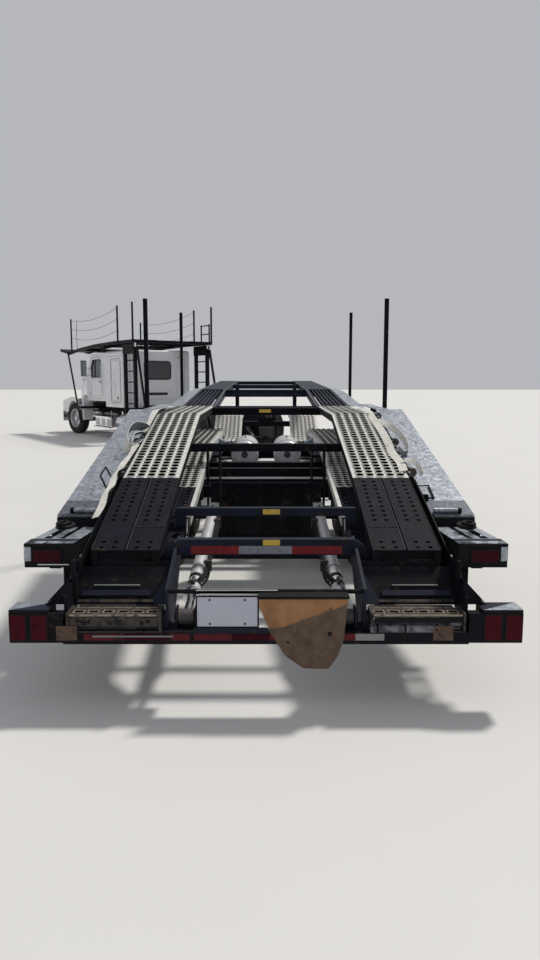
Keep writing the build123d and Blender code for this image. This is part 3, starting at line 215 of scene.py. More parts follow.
WORN = surface("worn_step", (0.050, 0.041, 0.034), 0.55, 0.2, vary=0.45, grain=26.0, bump=0.35, shine=0.3,
               spots=((0.012, 0.012, 0.015), 0.3, 16.0), streaks=((0.20, 0.165, 0.13), 0.14, 20.0))
GLASS = surface("tinted_glass", (0.008, 0.011, 0.015), 0.05, vary=0.1, grain=3.0, bump=0.0, coat=1.0, alpha=0.8,
                dirt=((0.10, 0.10, 0.10), 4.0, 0.05))
MIRROR = surface("mirror_glass", (0.75, 0.78, 0.80), 0.04, 1.0, vary=0.03, grain=3.0, bump=0.0)
FABRIC = surface("seat_fabric", (0.075, 0.076, 0.082), 0.9, vary=0.2, grain=40.0, bump=0.5, weave=160.0)
DASH = surface("dash_plastic", (0.05, 0.05, 0.054), 0.6, vary=0.15, bump=0.35, fine=400.0)
PLASTIC = surface("black_plastic", (0.0055, 0.006, 0.008), 0.55, vary=0.25, bump=0.2, fine=300.0, shine=0.1,
                  dirt=(DUST, 1.0, 0.05))
RED_LENS = surface("lens_red", (0.056, 0.0020, 0.0085), 0.24, bump=0.5, spots=((0.04, 0.003, 0.006), 0.3, 45.0), **LENS)
DIM_RED = surface("lens_dim_red", (0.034, 0.0018, 0.0055), 0.25, bump=0.4, **LENS)
AMBER = surface("lens_brown", (0.085, 0.050, 0.034), 0.5, vary=0.3, grain=26.0, bump=0.35, fine=140.0, shine=0.3,
                spots=((0.045, 0.03, 0.024), 0.15, 18.0))
ORANGE = surface("lens_orange", (0.55, 0.20, 0.02), 0.18, grain=30.0, bump=0.4, fine=120.0, coat=0.6)
CLEAR = surface("lens_clear", (0.62, 0.65, 0.68), 0.12, 0.35, vary=0.1, grain=20.0, bump=0.4, fine=90.0, coat=0.8)
TAPE_RED = surface("tape_red", (0.18, 0.0065, 0.011), 0.42, vary=0.25, shine=0.3,
                   spots=((0.03, 0.014, 0.018), 0.12, 24.0), **TAPE)
TAPE_LOW = surface("tape_red_low", (0.085, 0.005, 0.010), 0.5, vary=0.3, shine=0.2,
                   spots=((0.03, 0.014, 0.018), 0.2, 24.0), **TAPE)
TAPE_WHITE = surface("tape_white", (0.20, 0.215, 0.25), 0.45, vary=0.14, shine=0.3,
                     spots=((0.09, 0.09, 0.10), 0.12, 22.0), **TAPE)
SEAM = surface("ramp_seam", (0.075, 0.079, 0.095), 0.5, vary=0.3, grain=20.0, bump=0.1, shine=0.2)
ROLLER = surface("roller_worn", (0.15, 0.155, 0.17), 0.40, 0.35, vary=0.3, grain=14.0,
                 spots=((0.05, 0.05, 0.06), 0.3, 16.0))
YELLOW = surface("sticker_yellow", (0.62, 0.42, 0.06), 0.5, vary=0.1, grain=50.0, bump=0.05,
                 spots=((0.16, 0.11, 0.05), 0.05, 70.0))
PLATE = surface("plate_blank", (0.44, 0.46, 0.55), 0.36, 0.15, vary=0.05, grain=10.0, bump=0.06,
                dirt=((0.30, 0.28, 0.25), 0.7, 0.25))
SCREW = surface("screw_dark", (0.05, 0.055, 0.08), 0.4, 0.7, vary=0.2, grain=60.0, bump=0.1)
STRAP = surface("strap_cream", (0.76, 0.75, 0.70), 0.85, grain=25.0, bump=0.6, weave=260.0,
                spots=((0.34, 0.31, 0.26), 0.10, 14.0))
# Painted shade for the undersides of the tie-down straps
STRAP_SHADE = surface("strap_painted_shade", (0.16, 0.18, 0.21), 0.9, vary=0.25, grain=25.0, bump=0.6, weave=260.0)
# The lit tone of the hanging sheet; its painted shade is mixed in further down the script
BOARD = surface("brown_sheet", (0.30, 0.145, 0.06), 0.75, vary=0.3, bump=0.4, fine=70.0,
                spots=((0.10, 0.055, 0.03), 0.12, 9.0), streaks=((0.16, 0.09, 0.05), 0.18, 8.0))
# Pale beige of the step's slot rims and slot walls: painted highlight, with dark marks on it
SLOT_RIM_HIGHLIGHT = surface("slot_rim_highlight", (0.33, 0.27, 0.21), 0.75, vary=0.3, grain=30.0, bump=0.4,
                   spots=((0.06, 0.05, 0.045), 0.3, 30.0))


# Mesh making
PRISM = [(3, 2, 1, 0), (4, 5, 6, 7), (1, 5, 4, 0), (4, 7, 3, 0), (2, 6, 5, 1), (7, 6, 2, 3)]
QUAD = ((-1, -1), (1, -1), (1, 1), (-1, 1))


def turns(n):
    return [2 * math.pi * i / n for i in range(n)]


def skin(spans, n):
    """Faces between rings of n points, for each pair of rings in spans."""
    return [(i * n + j, i * n + (j + 1) % n, o * n + (j + 1) % n, o * n + j) for i, o in spans for j in range(n)]


def ellipse(x, y, z, rx, ry, n):
    """Points of a level ellipse."""
    return [(x + rx * math.cos(t), y + ry * math.sin(t), z) for t in turns(n)]


def linked(name, data):
    """A new object in the scene."""
    obj = bpy.data.objects.new(name, data)
    bpy.context.scene.collection.objects.link(obj)
    return obj


def soften(obj, smooth, bevel, corner, harden=False):
    """Smooth shading between sharp edges and a bevel along the corners; smooth and corner are degrees."""
    obj.data.shade_smooth()
    obj.data.set_sharp_from_angle(angle=math.radians(smooth))
    if bevel:
        mod = obj.modifiers.new("edge", "BEVEL")
        mod.width, mod.segments, mod.limit_method = bevel, 2, "ANGLE"
        mod.angle_limit, mod.harden_normals = math.radians(corner), harden


class Shape:
    """A mesh in the making, in metres and in a vehicle's own axes. k is the material of what is added."""
    def __init__(self, place=TRAILER):
        self.place, self.v, self.f, self.k, self.uv, self.pierced = place, [], [], [], {}, False

    def add(self, verts, faces, k=0):
        n = len(self.v)
        self.v += [tuple(p) for p in verts]
        self.f += [[n + i for i in f] for f in faces]
        self.k += k if isinstance(k, list) else [k] * len(faces)

    def box(self, x0, x1, y0, y1, z0, z1, k=0):
        self.add([(a, b, c) for a in sorted((x0, x1)) for b in (y0, y1) for c in (z0, z1)],
                 [(0, 1, 3, 2), (4, 6, 7, 5), (0, 4, 5, 1), (2, 3, 7, 6), (0, 2, 6, 4), (1, 5, 7, 3)], k)

    def boxes(self, k, *rows):
        """Boxes of one material, each a row of its limits in x, y and z."""
        for row in rows:
            self.box(*row, k)

    def prism(self, x, corners, k=0, faces=PRISM):
        """A plate between two x, with four corners (y, z)."""
        self.add([(a, *p) for a in x for p in corners], faces, k)

    def strip(self, line, x, y, thick, k=0):
        """A plate between two x whose top follows a line from y[0] to y[1]."""
        ys = sorted({*y, *[p[0] for p in line if y[0] < p[0] < y[1]]})
        for a, b in zip(ys, ys[1:]):
            za, zb = level(line, a), level(line, b)
            self.prism(x, ((a, za - thick), (b, zb - thick), (b, zb), (a, za)), k)

    def beam(self, a, b, width, depth, k=0, side=(1, 0, 0)):
        a, b = Vector(a), Vector(b)
        run = (b - a).normalized()
        u = Vector(side)
        u = (u - run * u.dot(run)).normalized()
        w = run.cross(u)
        self.add([q + u * s * width / 2 + w * t * depth / 2 for q in (a, b) for s, t in QUAD],
                 [(3, 2, 1, 0), (4, 5, 6, 7), (0, 1, 5, 4), (1, 2, 6, 5), (2, 3, 7, 6), (3, 0, 4, 7)], k)

    def tube(self, points, radius, k=0, n=10, closed=False):
        """A round tube along points. A list of radii tapers it."""
        pts = [Vector(p) for p in points]
        count = len(pts)
        rings, up = [], None
        for i, p in enumerate(pts):
            a = pts[i - 1] if i or closed else pts[0]
            b = pts[(i + 1) % count] if i < count - 1 or closed else pts[-1]
            run = (b - a).normalized()
            if up is None:
                up = run.orthogonal().normalized()
            up = (up - run * up.dot(run)).normalized()
            w = run.cross(up)
            r = radius[i] if isinstance(radius, list) else radius
            rings += [p + (up * math.cos(t) + w * math.sin(t)) * r for t in turns(n)]
        faces = skin([(i, (i + 1) % count) for i in range(count if closed else count - 1)], n)
        if not closed:
            faces += [tuple(reversed(range(n))), tuple((count - 1) * n + j for j in range(n))]
        self.add(rings, faces, k)

    def lathe(self, profile, centre, axis=(1, 0, 0), n=48, ring=True):
        """A profile of (along, radius, material) turned about an axis through centre.

        ring joins its last point to its first. Without it, a radius of half a millimetre closes an end."""
        axis, c = Vector(axis), Vector(centre)
        u = axis.orthogonal().normalized()
        w = axis.cross(u)
        m, start = len(profile), len(self.f)
        spans = [(i, (i + 1) % m) for i in range(m if ring else m - 1)]
        self.add([c + axis * a + (u * math.cos(t) + w * math.sin(t)) * r for a, r, _ in profile for t in turns(n)],
                 skin(spans, n), [profile[i][2] for i, _ in spans for _ in range(n)])
        for q in range(len(spans) * n):
            i, j = divmod(q, n)
            self.uv[start + q] = [(j, i), (j + 1, i), (j + 1, i + 1), (j, i + 1)]

    def hoop(self, centre, axis, half, inner, outer, n=40):
        """A flat band round an axis."""
        self.lathe([(-half, inner, 0), (-half, outer, 0), (half, outer, 0), (half, inner, 0)], centre, axis, n)

    def holed(self, point, u, v, nu, nv, rings, thick, n=12, k=0, k_hole=1):
        """A sheet of nu by nv cells, each with a hole. point(u, v, h) places it; rings are (radius, height)."""
        self.pierced = True
        du, dv = (u[1] - u[0]) / nu, (v[1] - v[0]) / nv
        spokes = [(math.cos(t + math.pi / n), math.sin(t + math.pi / n)) for t in turns(n)]
        for cu, cv in [(u[0] + du * (i + 0.5), v[0] + dv * (j + 0.5)) for i in range(nu) for j in range(nv)]:
            edge = [(cu + du / 2 * c / max(abs(c), abs(s)), cv + dv / 2 * s / max(abs(c), abs(s))) for c, s in spokes]
            loops = [[point(a, b, 0) for a, b in edge]]
            loops += [[point(cu + r * c, cv + r * s, h) for c, s in spokes]
                      for r, h in (*rings, (rings[-1][0], -thick))]
            loops.append([point(a, b, -thick) for a, b in edge])
            last = len(loops) - 1
            self.add([q for loop in loops for q in loop], skin([(a, a + 1) for a in range(last)], n),
                     [k_hole if a == last - 2 else k for a in range(last) for _ in range(n)])

    def deck(self, line, x, y, nu, nv, rings, thick, **more):
        """A pierced sheet between two x that follows a line."""
        self.holed(lambda a, b, h: (a, b, level(line, b) + h), x, y, nu, nv, rings, thick, **more)

    def mirror(self):
        """Adds the other side of x."""
        n, m = len(self.v), len(self.f)
        self.v += [(-x, y, z) for x, y, z in self.v]
        self.f += [[n + i for i in reversed(f)] for f in self.f]
        self.k += self.k
        self.uv.update({m + i: list(reversed(uv)) for i, uv in self.uv.items()})

    def make(self, name, body, mats, slot, replaces=(), bevel=0.0, smooth=35, mirrored=False):
        """The finished piece, riding a body."""
        if mirrored:
            self.mirror()
        mesh = bpy.data.meshes.new(name)
        mesh.from_pydata([self.place @ Vector(p) for p in self.v], [], self.f)
        if self.uv:
            layer = mesh.uv_layers.new(name="UVMap")
            for i, uv in self.uv.items():
                for loop, value in zip(mesh.polygons[i].loop_indices, uv):
                    layer.data[loop].uv = value
        for m in mats:
            mesh.materials.append(m)
        mesh.polygons.foreach_set("material_index", self.k)
        mesh.validate()
        if not self.pierced:
            bm = bmesh.new()
            bm.from_mesh(mesh)
            bmesh.ops.recalc_face_normals(bm, faces=bm.faces)
            bm.to_mesh(mesh)
            bm.free()
        obj = linked(name, mesh)
        soften(obj, smooth, bevel, 40)
        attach(obj, body)
        if replaces:
            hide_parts(*replaces)
        return obj


def curve(points, steps=8):
    """A smooth line through points."""
    pts = [Vector(p) for p in points]
    pts = [pts[0] * 2 - pts[1]] + pts + [pts[-1] * 2 - pts[-2]]
    out = []
    for i in range(1, len(pts) - 2):
        a, b, c, d = pts[i - 1:i + 3]
        out += [0.5 * (2 * b + (c - a) * t + (2 * a - 5 * b + 4 * c - d) * t * t + (3 * b - a - 3 * c + d) * t ** 3)
                for t in (j / steps for j in range(steps))]
    return out + [pts[-2]]


def rounded(points, corner, steps=4):
    """A closed path through points, with rounded corners."""
    path = []
    for i, b in enumerate(points):
        a, c = points[i - 1], points[(i + 1) % len(points)]
        p, q = b + (a - b).normalized() * corner, b + (c - b).normalized() * corner
        path += [p * (1 - t) ** 2 + b * 2 * t * (1 - t) + q * t * t for t in (j / steps for j in range(steps + 1))]
    return path


def outline(shape, x, points, radius, k, corner):
    """A seam round a closed outline of (y, z) points at one x."""
    shape.tube(rounded([Vector((x, *p)) for p in points], corner), radius, k, n=8, closed=True)


def bolts(shape, places, radius, height, k=0):
    """Bolt heads that face the rear."""
    for x, y, z in places:
        shape.tube([(x, y + 0.002, z), (x, y - height, z)], radius, k, n=6)


# Finishes of the frame's own nodes
def dress(name, mat, bevel=0.0, rules=()):
    """Gives a node its finish, and another one to the faces that a rule (material, test of the face) picks."""
    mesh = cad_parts[name].data
    mesh.materials.clear()
    mesh.materials.append(mat)
    picked = [0] * len(mesh.polygons)
    for i, (other, test) in enumerate(rules, 1):
        mesh.materials.append(other)
        for p in mesh.polygons:
            if test(p.center, p.normal):
                picked[p.index] = i
    mesh.polygons.foreach_set("material_index", picked)
    soften(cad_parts[name], 32, bevel, 32, harden=True)


def in_box(x, y, z, up=None, place=TRAILER):
    """A face test: inside a box of a vehicle's axes, on either side, and facing up or sideways if asked."""
    back = place.inverted()

    def test(c, n):
        p = back @ c
        inside = x[0] <= abs(p.x) <= x[1] and y[0] <= p.y <= y[1] and z[0] <= p.z <= z[1]
        return inside and (up is None or (abs(n.z) > 0.8) == up)
    return test


def on_roller(c, n):
    """A face test: the round of the loading roller."""
    p = TRAILER.inverted() @ c
    return 0.545 < abs(p.x) < 0.999 and 0.02 < math.hypot(p.y - 0.066, p.z - 0.43) < 0.0305


dress("trailer_frame", BLACK, 0.004, [(DARK, in_box((0, 0.56), (0.45, 0.97), (0.6, 0.9))),
                                      (DARK, in_box((0.44, 0.6), (0.0, 0.7), (0.38, 0.8)))])
# The rear bumper's slot walls take the pale painted highlight of the slot rims
dress("rear_bumper", BLACK, 0.004, [(SLOT_RIM_HIGHLIGHT, in_box((0.55, 0.99), (0.03, 0.09), (0.478, 0.491), up=False)),
                                    (WORN, in_box((0.53, 1.02), (0.0, 0.15), (0.4, 0.51))), (ROLLER, on_roller)])
# The lamp boxes' top faces take a dark blue, and a band of them at one corner a bright galvanised tone: painted
# skylight and a painted highlight on the tops
dress("tail_lamps", PLASTIC, 0.004, [(RED_LENS, in_box((1.1, 1.3), (-0.01, -0.0005), (0.3, 0.55))),
                                     (DIM_RED, in_box((1.1, 1.26), (0.25, 0.2695), (0.69, 0.78))),
                                     (DARK, in_box((1.0, 1.31), (0.0, 0.5), (0.515, 0.81), up=True)),
                                     (GALV, in_box((1.17, 1.31), (0.0, 0.2), (0.515, 0.53), up=True))])
dress("tail_ramps", RAMP, 0.001, [(PLASTIC, in_box((0.6, 0.96), (0.395, 1.3), (0.7, 1.1), up=False))])
dress("deck_lift_rods", CHROME, 0.003, [(CAST, in_box((0.3, 0.55), (-0.1, 0.18), (0.3, 0.6)))])
for name in ("door_left", "door_right"):
    dress(name, WHITE, 0.006, [(PLASTIC, in_box((1.155, 1.34), (8.6, 8.72), (1.89, 2.41), place=TRACTOR)),
                               (CHROME, in_box((1.02, 1.16), (8.58, 8.67), (1.9, 2.2), place=TRACTOR)),
                               (PLASTIC, in_box((1.026, 1.06), (7.68, 7.84), (1.69, 1.75), place=TRACTOR))])
for mat, bevel, names in (
        (BLACK, 0.004, "deck_posts trailer_axles rear_deck_frame tractor_frame"), (DARK, 0.003, "front_deck"),
        (RACK, 0.004, "headrack_legs headrack_deck"), (GALV, 0.002, "fender_plates outer_plates"),
        (CAST, 0.004, "front_axle drive_axles knuckle_left knuckle_right engine_block"),
        (WHITE, 0.008, "cab_shell sleeper_shell hood"), (SILVER, 0.002, "deck_lift_barrels air_tanks"),
        (CHROME, 0.003, "front_bumper air_cleaners grille post_lift_rods headrack_lift_rods fuel_tanks"),
        (GRIP, 0.0, "lower_runways rear_runways"), (PLATE, 0.0008, "licence_plate"), (DASH, 0.008, "dashboard"),
        (GLASS, 0.0, "cab_glass door_glass_left door_glass_right")):
    for name in names.split():
        dress(name, mat, bevel)

# Runways. Each hole's edge is bent down inside the sheet, so the sheets are thicker at their holes. The holes' walls
# are black: painted shade that makes the holes read dark.
SHEET = 0.008
grips = Shape()
for x in ((0.59, 0.607), (0.953, 0.97)):
    grips.strip(REAR_DECK, x, (1.33, 4.62), SHEET)
grips.deck(REAR_DECK, (0.607, 0.953), (1.33, 4.58), 5, 52, ((0.031, 0.0), (0.0285, 0.0105), (0.0262, 0.011)), 0.026)
grips.strip(REAR_DECK, (0.607, 0.953), (4.58, 4.62), SHEET)
grips.make("rear_runways_grip", "rear_deck", [GRIP, PLASTIC], "galvanised", ["rear_runways"], mirrored=True)

lower = Shape()
# From y 0.97 to 1.6 the pierced sheet and its outer strip are black over galvanised runway: painted shade
for x, k in (((0.475, 0.50), 0), ((0.98, 1.01), 2)):
    lower.strip(LOWER_DECK, x, (0.97, 1.6), SHEET, k)
    lower.strip(LOWER_DECK, x, (1.6, 11.9), SHEET)
for y, nu, nv, rings, thick, n, k in (((0.97, 1.6), 6, 9, ((0.026, 0.0), (0.022, 0.003)), SHEET, 10, 2),
                                      ((1.6, 4.7), 8, 58, ((0.024, 0.0), (0.0215, 0.008)), 0.022, 8, 0),
                                      ((4.7, 11.9), 6, 90, ((0.030, 0.0), (0.023, 0.007)), 0.022, 6, 0)):
    lower.deck(LOWER_DECK, (0.5, 0.98), y, nu, nv, rings, thick, n=n, k=k)
for (y0, z0), (y1, z1) in zip(LOWER_DECK, LOWER_DECK[1:]):
    lower.prism((0.475, 0.483), ((y0, z0 - 0.058), (y1, z1 - 0.058), (y1, z1 - SHEET), (y0, z0 - SHEET)), 0, PRISM[:5])
lower.make("lower_runways_pierced", "trailer", [GRIP, PLASTIC, RAMP], "galvanised", ["lower_runways"], mirrored=True)

# Welded strips of the tail ramps, the seam between their halves, and the pierced strip beside them
welds = Shape()
for x, up, k in (((0.59, 0.594), 0.003, 0), ((0.966, 0.97), 0.003, 0), ((0.7722, 0.7746), 0.004, 1)):
    welds.strip(raised(REAR_DECK, up), x, (0.385, 1.325), up + 0.001, k)
for y, x1 in ((1.322, 0.955), (0.64, 0.775)):
    z = level(REAR_DECK, y) + 0.0005
    welds.beam((0.60, y, z), (x1, y, z), 0.003, 0.008, side=UPWARD)
welds.make("tail_ramp_strips", "rear_deck", [RAMP_EDGE, SEAM], "black_steel", mirrored=True)

SLOPE, SLOPE_Y = ((0.62, 0.664), (0.965, 0.802)), (0.62, 0.965)
# The pierced slope strip is black: painted shade on the lower runway's inner column as it runs down beside the tail
# ramps
slope = Shape()
for x in ((0.50, 0.512), (0.588, 0.60)):
    slope.strip(SLOPE, x, SLOPE_Y, 0.006)
slope.deck(SLOPE, (0.512, 0.588), SLOPE_Y, 1, 5, ((0.029, 0.0), (0.027, -0.002)), 0.006)
slope.make("slope_pierced_strips", "trailer", [RAMP, PLASTIC], "black_steel", mirrored=True)

# Wheels
BEAD = 0.292
TWIN_GAP = 0.04


def tyre(shape, centre, radius, width):
    """A tyre with four grooves; its flank is (distance from the side, radius, material)."""
    h = width / 2
    flank = ((0.02, BEAD, 0), (0.004, BEAD + 0.035, 0), (0, radius - 0.11, 0), (0.003, radius - 0.07, 0),
             (0.026, radius - 0.016, 0), (0.058, radius - 0.002, 1))
    profile = [(d - h, r, k) for d, r, k in flank]
    for i in range(4):
        a = -h + 0.05 + (width - 0.10) * (i + 1) / 5
        profile += [(a - 0.007, radius, 0), (a - 0.005, radius - 0.014, 0), (a + 0.005, radius - 0.014, 0),
                    (a + 0.007, radius, 1)]
    shape.lathe(profile + [(h - d, r, 0) for d, r, _ in reversed(flank)], centre, n=72)


def lugs(shape, x, y, z, side, circle, count, size=0.016, height=0.03):
    """A circle of nuts that face outward."""
    for t in turns(count):
        b, c = y + circle * math.cos(t), z + circle * math.sin(t)
        shape.tube([(x - side * 0.004, b, c), (x + side * height, b, c)], [size, size * 0.8], n=6)


def disc(shape, x, y, z, side, inner, outer, dish):
    """A wheel disc with ten hand holes between two radii."""
    def cell(a, r, h):
        t, bulge = a / outer, dish * (outer - r) / (outer - inner)
        return (x + side * (h + bulge), y + r * math.cos(t), z + r * math.sin(t))
    start = len(shape.f)
    shape.holed(cell, (0.0, 2 * math.pi * outer), (inner, outer), 10, 1, ((0.033, 0.0), (0.03, -0.004)), 0.012, n=16,
                k_hole=0)
    if side > 0:
        shape.f[start:] = [list(reversed(f)) for f in shape.f[start:]]


def wheel(name, y, outside, side, radius, width, twin, place):
    """Tyre and rim, or a pair of them; outside is the outer face's distance from the vehicle's middle."""
    z, axis = radius, (side, 0, 0)
    centres = [side * (outside - width / 2)] + ([side * (outside - 1.5 * width - TWIN_GAP)] if twin else [])
    rubber, metal = Shape(place), Shape(place)
    flange = ((0, 0.004), (0, -0.012), (0.012, -0.012), (0.02, 0.006))
    h = width / 2 - 0.012
    band = [(d - h, BEAD - r, 0) for d, r in flange] + [(h - d, BEAD - r, 0) for d, r in reversed(flange)]
    for x in centres:
        tyre(rubber, (x, y, z), radius, width)
        metal.lathe(band + [(h - 0.03, BEAD - 0.022, 0), (0.03 - h, BEAD - 0.022, 0)], (x, y, z), n=64)
    rubber.make(f"tyre_{name}", f"wheel_{name}", [RUBBER, TREAD], "rubber", [f"tyres_{name}"])
    face = side * (outside - (0.5 * width + 0.07 if twin else 0.5 * width - 0.04))
    disc(metal, face, y, z, side, 0.16, BEAD - 0.02, 0.01 if twin else 0.02)
    metal.lathe([(-0.02, 0.16, 0), (0.012, 0.16, 0), (0.012, 0.05, 0), (-0.02, 0.05, 0)], (face, y, z), axis)
    lugs(metal, face + side * 0.012, y, z, side, 0.135, 10)
    cap = 0.5 * width + 0.035 if twin else 0.5 * width - 0.075
    metal.lathe([(0.0, 0.098, 0), (cap * 0.8, 0.09, 0), (cap * 0.94, 0.07, 0), (cap, 0.04, 0), (cap, 0.0005, 0)],
                (face, y, z), axis, n=40, ring=False)
    lugs(metal, face + side * cap * 0.8, y, z, side, 0.078, 8, size=0.008, height=0.008)
    back = side * (outside - (1.5 if twin else 0.6) * width - 0.06)
    metal.lathe([(0.0, 0.0005, 1), (0.0, 0.15, 1), (0.01, 0.16, 1), (0.06, 0.16, 1), (0.068, 0.11, 1),
                 (abs(face - back), 0.11, 1)], (back, y, z), axis, n=40, ring=False)
    metal.make(f"rim_{name}", f"wheel_{name}", [ALLOY, CAST], "wheel_alloy", [f"rims_{name}"])


TRAILER_TYRE, TRACTOR_TYRE = 0.475, 0.515
for group, outside, radius, place, rows in (
        ("trailer", 1.28, TRAILER_TYRE, TRAILER, (("rear", 3.05), ("front", 4.3))),
        ("drive", 1.225, TRACTOR_TYRE, TRACTOR, (("rear", 1.45), ("front", 2.76)))):
    for row, y in rows:
        for word, side in HANDS:
            wheel(f"{group}_{row}_{word}", y, outside, side, radius, 0.25, True, place)
for word, side in HANDS:
    pin = Matrix.Translation((side * 0.9, 9.8, 0))
    wheel(f"front_{word}", 9.8, 1.215, side, TRACTOR_TYRE, 0.29, False,
          TRACTOR @ pin @ Matrix.Rotation(STEER, 4, "Z") @ pin.inverted())

# Reflective tapes and stickers
tapes = Shape()
for x0, x1, k in ((-0.925, -0.72, 4), (-0.72, -0.5, 3), (-0.478, -0.386, 4), (-0.365, -0.172, 4), (-0.172, 0.02, 3),
                  (0.02, 0.2, 4), (0.2, 0.365, 3), (0.381, 0.454, 4), (0.454, 0.60, 5)):
    tapes.box(x0, x1, -0.001, 0.002, 0.36, 0.395, k)
for x0, x1, k in ((-0.424, -0.154, 0), (-0.154, 0.147, 1), (0.147, 0.43, 0)):
    tapes.box(x0, x1, 0.4685, 0.472, 0.697, 0.743, k)
tapes.boxes(2, (-0.017, 0.079, 0.4685, 0.4725, 0.746, 0.778), (-0.019, 0.087, 0.8985, 0.9025, 0.846, 0.878))
tapes.make("tapes_and_stickers", "trailer", [TAPE_RED, TAPE_WHITE, YELLOW, DIM_RED, TAPE_LOW, TRIM], "plate_paint")
far_tag = Shape()
far_tag.box(-0.075, 0.055, 4.5385, 4.542, 1.335, 1.37)
far_tag.make("far_sticker", "rear_deck", [YELLOW], "plate_paint")

# Black frames and ribs of the lenses, and the bright markers on the upper lamps' corners
RIM, LAMP_EDGE = 0.009, 1.2995
LENSES = ((1.149, 0.039, 0.363, 0.493, -0.0059, 0.001), (1.256, 0.039, 0.363, 0.493, -0.0059, 0.001),
          (1.1775, 0.0725, 0.70, 0.765, 0.2642, 0.271))
small = Shape()
for c, half, z0, z1, y0, y1 in LENSES:
    x0, x1 = c - half, c + half
    small.boxes(2, (x0 - RIM, x0, y0, y1, z0 - RIM, z1 + RIM), (x0, x1, y0, y1, z0 - RIM, z0),
                (x1, min(x1 + RIM, LAMP_EDGE), y0, y1, z0 - RIM, z1 + RIM), (x0, x1, y0, y1, z1, z1 + RIM))
for x in (1.149, 1.256):
    small.box(x - 0.0012, x + 0.0012, -0.0064, 0.0, 0.363, 0.493, 2)
small.box(1.06, 1.30, 0.2655, 0.271, 0.79, 0.80, 2)
small.boxes(7, (1.262, LAMP_EDGE, 0.2625, 0.2705, 0.706, 0.784), (1.2965, LAMP_EDGE, 0.265, 0.34, 0.706, 0.784))
small.mirror()
# Brown lenses, thin bright edges that are painted highlights, and what differs between the two steps: a bright bar
# under the left one and its dark lip with two bolts, and the tube and lip of the right one
small.boxes(0, (-1.063, -0.957, -0.005, 0.004, 0.361, 0.437), (0.848, 0.949, -0.005, 0.004, 0.361, 0.437))
small.boxes(1, (-0.36, 0.06, 0.0705, 0.079, 0.5975, 0.602), (-1.228, -1.06, 0.2635, 0.2705, 0.684, 0.690))
small.box(-0.365, 0.01, -0.003, 0.002, 0.4, 0.428, 3)
small.box(-0.88, -0.47, -0.0045, 0.001, 0.378, 0.386, 5)
small.box(-0.995, -0.535, 0.002, 0.0098, 0.437, 0.4775, 4)
small.box(0.55, 0.99, 0.002, 0.0098, 0.452, 0.4775, 2)
for x0, x1, r, k in ((0.53, 0.905, 0.0245, 6), (0.56, 0.572, 0.0252, 2), (0.70, 0.712, 0.0252, 2),
                     (0.86, 0.872, 0.0252, 2)):
    small.tube([(x0, 0.0195, 0.416), (x1, 0.0195, 0.416)], r, k, n=20)
bolts(small, [(-0.898, 0.002, 0.458), (-0.598, 0.002, 0.458)], 0.009, 0.005, 2)
small.make("lamp_and_bumper_trim", "trailer", [AMBER, SILVER, PLASTIC, DARK, WORN, TRIM, ROLLER, GALV], "lamp_plastic",
           bevel=0.001)

# Rims round the step's slots and along its front and back edges, pale as painted highlights
rims = Shape()
for x in (0.58 + 0.076 * i for i in range(6)):
    for x0, x1, y0, y1 in ((-0.028, -0.024, 0.038, 0.086), (0.024, 0.028, 0.038, 0.086),
                           (-0.024, 0.024, 0.038, 0.042), (-0.024, 0.024, 0.082, 0.086)):
        rims.box(x + x0, x + x1, y0, y1, 0.486, 0.4925)
rims.boxes(0, (0.546, 0.998, 0.0092, 0.0125, 0.483, 0.4915), (0.546, 0.998, 0.1275, 0.1315, 0.483, 0.4925))
rims.box(0.55, 0.99, 0.1315, 0.198, 0.476, 0.484, 1)
rims.make("step_slot_rims", "trailer", [SLOT_RIM_HIGHLIGHT, WORN], "black_steel", mirrored=True)

# Dark plates that close the gaps beside and below the tail ramps: painted shade, set where the pale floor would show
# through
plates = Shape()
plates.boxes(0, (0.516, 0.964, 0.371, 0.378, 0.64, 0.679), (0.605, 1.0115, 0.379, 1.40, 0.600, 0.606),
             (0.965, 1.0115, 0.285, 0.379, 0.560, 0.566), (1.0115, 1.0185, 0.285, 1.40, 0.500, 0.620),
             (1.0115, 1.0185, 0.20, 0.285, 0.50, 0.64))
plates.strip(((0.285, 0.70), (0.38, 0.722), (1.345, 1.005)), (1.0115, 1.0185), (0.285, 1.345), 0.18)
for y in ((0.94, 1.35), (1.35, 3.38)):
    plates.strip(raised(FENDER, -0.002), (1.041, 1.0495), y, 0.12)
plates.make("ramp_gap_shade_plates", "trailer", [BLACK], "black_steel", mirrored=True)

member = Shape()
member.box(-0.473, 0.473, 3.40, 3.47, 0.80, 0.905)
member.box(-0.473, 0.473, 3.398, 3.402, 0.900, 0.9065, 1)
member.make("tank_cross_member", "trailer", [BLACK, TRIM], "black_steel", bevel=0.002)

# A black bulkhead across the frame, set where there is only shade under the trailer: painted shade that hides the pale
# floor between the rails
shade_panel = Shape()
shade_panel.box(-0.474, 0.474, 2.60, 2.606, 0.33, 0.875)
for x in (-0.3, 0.0, 0.3):
    shade_panel.box(x - 0.012, x + 0.012, 2.585, 2.60, 0.33, 0.875)
for z in (0.335, 0.862):
    shade_panel.box(-0.474, 0.474, 2.58, 2.60, z - 0.006, z + 0.012)
bolts(shade_panel, [(x, 2.602, z) for x in (-0.44, -0.15, 0.15, 0.44) for z in (0.40, 0.60, 0.80)], 0.010, 0.008, 1)
shade_panel.make("bulkhead_painted_shade", "trailer", [BLACK, DARK], "black_steel", bevel=0.001)

